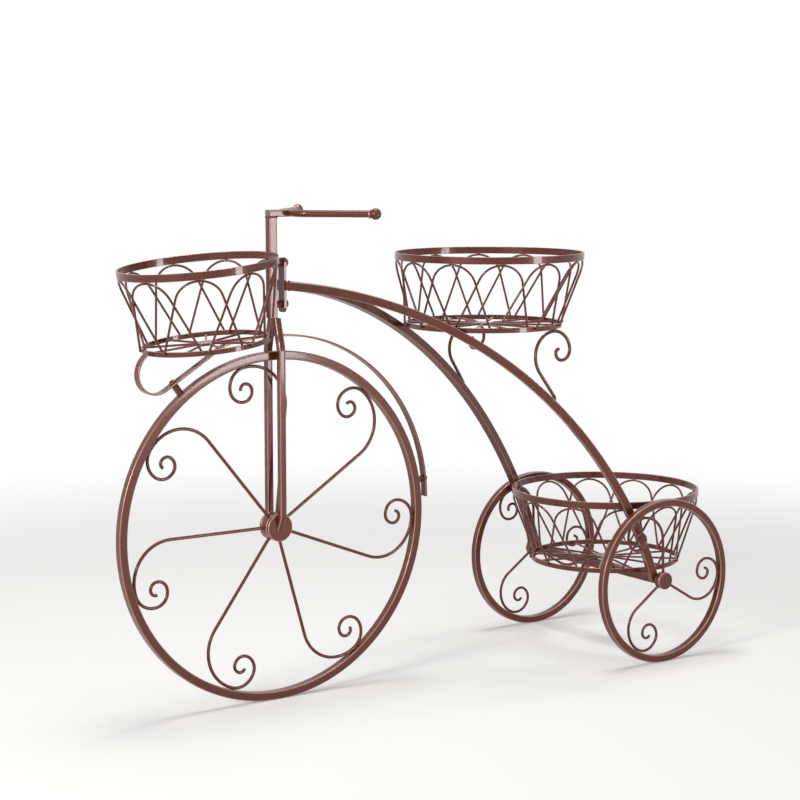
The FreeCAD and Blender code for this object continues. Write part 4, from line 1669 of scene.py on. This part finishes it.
@dataclass
class Studio:
    """Pale floor, soft lamps and the camera of the photograph's view, with places in metres."""

    camera_place: Triple = (-1.4044, -1.9675, 0.6400)
    azimuth: float = -34.91
    elevation: float = 7.32
    focal_pixels: float = 2064.0
    frame_pixels: float = 800.0
    sensor: float = 36.0
    clip_end: float = 100.0
    floor_half: float = 40.0
    floor_colour: str = "#F2F1EF"
    floor_roughness: float = 0.9
    floor_sheen: float = 0.1
    floor_glow: float = 0.30
    white: str = "#FFFFFF"
    white_from: float = 0.7
    white_beyond: float = 1.7
    surround: float = 0.10
    lamp_target: Triple = (0.0, 0.0, 0.25)
    lamps: tuple[Lamp, ...] = (Lamp("lamp_left", (-2.8, -0.9, 1.1), 0.6, 48.0),
                               Lamp("lamp_right", (1.05, -2.4, 0.3), 0.5, 16.0),
                               Lamp("lamp_above", (0.0, 0.1, 2.6), 0.8, 32.0))

    @staticmethod
    def aim(thing: Object, place: Triple, direction: Vector) -> None:
        """Stand a camera or a lamp at a place and point it in a direction."""
        thing.location = place
        thing.rotation_euler = direction.to_track_quat("-Z", "Y").to_euler()

    def build_camera(self) -> None:
        """Set up the camera."""
        data = bpy.data.cameras.new("camera")
        data.sensor_width = self.sensor
        data.lens = self.focal_pixels / self.frame_pixels * self.sensor
        data.clip_end = self.clip_end
        camera = add_object("camera", data)
        turned = math.radians(self.azimuth)
        raised = math.radians(self.elevation)
        back = Vector((math.sin(turned) * math.cos(raised), -math.cos(turned) * math.cos(raised),
                       math.sin(raised)))
        self.aim(camera, self.camera_place, -back)
        bpy.context.scene.camera = camera

    @staticmethod
    def background_rays(tree: Tree) -> Socket:
        """Find the rays that show the background itself.

        Args:
            tree: Tree of the floor's material or the world.

        Returns:
            A socket that is 1 for rays from the camera, from gloss and through glass.
        """
        seen = add_node(tree, "ShaderNodeLightPath", output="Is Camera Ray")
        path = seen.node
        for ray in ("Is Glossy Ray", "Is Transmission Ray"):
            seen = add_node(tree, "ShaderNodeMath", {0: seen, 1: path.outputs[ray]}, operation="MAXIMUM")
        return seen

    def floor_material(self) -> Material:
        """Make the floor's material, which keeps the shadow and goes over to white around it.

        Returns:
            The material.
        """
        material = bpy.data.materials.new("pale_floor")
        tree = empty_tree(material)
        colour = linear(self.floor_colour)
        seen = self.background_rays(tree)
        glow = add_node(tree, "ShaderNodeMath", {0: seen, 1: self.floor_glow}, operation="MULTIPLY")
        surface = add_node(tree, "ShaderNodeBsdfPrincipled", {
            "Base Color": colour, "Roughness": self.floor_roughness, "Specular IOR Level": self.floor_sheen,
            "Emission Color": colour, "Emission Strength": glow})
        spot = add_node(tree, "ShaderNodeTexCoord", output="Object")
        away = add_node(tree, "ShaderNodeVectorMath", {0: spot}, "Value", operation="LENGTH")
        far = add_node(tree, "ShaderNodeMapRange", {
            "Value": away, "From Min": self.white_from, "From Max": self.white_beyond},
            interpolation_type="SMOOTHSTEP")
        bare = add_node(tree, "ShaderNodeMath", {0: far, 1: seen}, operation="MULTIPLY")
        white = add_node(tree, "ShaderNodeEmission", {"Color": linear(self.white), "Strength": 1.0})
        blend = add_node(tree, "ShaderNodeMixShader", {0: bare, 1: surface, 2: white})
        add_node(tree, "ShaderNodeOutputMaterial", {"Surface": blend})
        return material

    def build_floor(self) -> None:
        """Lay a pale floor."""
        mesh = bpy.data.meshes.new("floor")
        half = self.floor_half
        mesh.from_pydata([(-half, -half, 0.0), (half, -half, 0.0), (half, half, 0.0), (-half, half, 0.0)], [],
                         [(0, 1, 2, 3)])
        mesh.materials.append(self.floor_material())
        add_object("floor", mesh)

    def build_world(self) -> None:
        """Surround the stand with white that lights it only softly."""
        world = bpy.data.worlds.new("white_surround")
        tree = empty_tree(world)
        strength = add_node(tree, "ShaderNodeMapRange", {
            "Value": self.background_rays(tree), "To Min": self.surround, "To Max": 1.0})
        glow = add_node(tree, "ShaderNodeBackground", {"Color": linear(self.white), "Strength": strength})
        add_node(tree, "ShaderNodeOutputWorld", {"Surface": glow})
        bpy.context.scene.world = world

    def build_lamps(self) -> None:
        """Hang the soft lamps."""
        for lamp in self.lamps:
            data = bpy.data.lights.new(lamp.name, "AREA")
            data.size = lamp.size
            data.energy = lamp.power
            self.aim(add_object(lamp.name, data), lamp.place, Vector(self.lamp_target) - Vector(lamp.place))

    def build(self) -> None:
        """Build the whole studio."""
        bpy.context.scene.view_settings.view_transform = "Standard"
        self.build_camera()
        self.build_floor()
        self.build_world()
        self.build_lamps()


def dress_solids(coat: Material, steel: Material) -> None:
    """Give the solids that stay in view their materials.

    Args:
        coat: Coat of the head plate.
        steel: Steel of the clips inside the rear hubs.
    """
    for name, material in (("head_plate", coat), ("axle_clips", steel)):
        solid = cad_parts[name]
        solid.data.materials.clear()
        solid.data.materials.append(material)
        LOG.info("%s keeps its solid", name)


def build_stand() -> None:
    """Build every sub-assembly in order."""
    coat = BronzeCoat().material()
    workshop = Workshop(coat)
    front_wheel = ScrolledWheel(workshop, "front_wheel", Body.FRAME, "front_rim", "front_hub", "front_spoke",
                                wire=3.8, bend=45.0, scroll_radius=22.0, first_angle=-23.4,
                                shifts=(2.2, 4.5, 4.8, -1.5, -2.4, -0.3, 0.8), joint_angle=180.8)
    front_wheel.build()
    for side, body in ((Side.LEFT, Body.LEFT_WHEEL), (Side.RIGHT, Body.RIGHT_WHEEL)):
        RollingWheel(workshop, f"{side.word}_wheel", body, f"rear_rim_{side.word}", f"rear_hub_{side.word}",
                     f"rear_spoke_{side.word}", wire=3.4, bend=30.0, scroll_radius=20.0, first_angle=-28.0,
                     shifts=(-2.5, 0.0, 3.0), joint_angle=-113.0, side=side,
                     cap_node=f"rear_hub_cap_{side.word}").build()
    fork = Fork(workshop, front_wheel.centre)
    fork.build()
    Head(workshop).build()
    bars = FrameBars(workshop)
    front_basket = Basket(workshop, "front", radius=88.8, base_radius=71.0, height=92.0, hoop=8.5,
                          base_hoop=5.6, arches=9, tilt=6.0)
    top_basket = Basket(workshop, "top", radius=113.5, base_radius=93.6, height=89.0, hoop=8.5,
                        base_hoop=6.0, arches=12, setback=8.0)
    rear_basket = Basket(workshop, "rear", radius=117.5, base_radius=93.0, height=92.5, hoop=8.5,
                         base_hoop=6.0, arches=12)
    for basket in (front_basket, top_basket, rear_basket):
        basket.build()
    TopBrackets(workshop, bars, top_basket).build()
    bars.build()
    RimStrips(workshop, front_wheel, fork, front_basket).build()
    dress_solids(coat, SpringSteel().material())


def main() -> None:
    """Build the stand and its studio."""
    logging.basicConfig(level=logging.INFO, format="%(message)s")
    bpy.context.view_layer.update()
    build_stand()
    Studio().build()


if __name__ == "__main__":
    main()
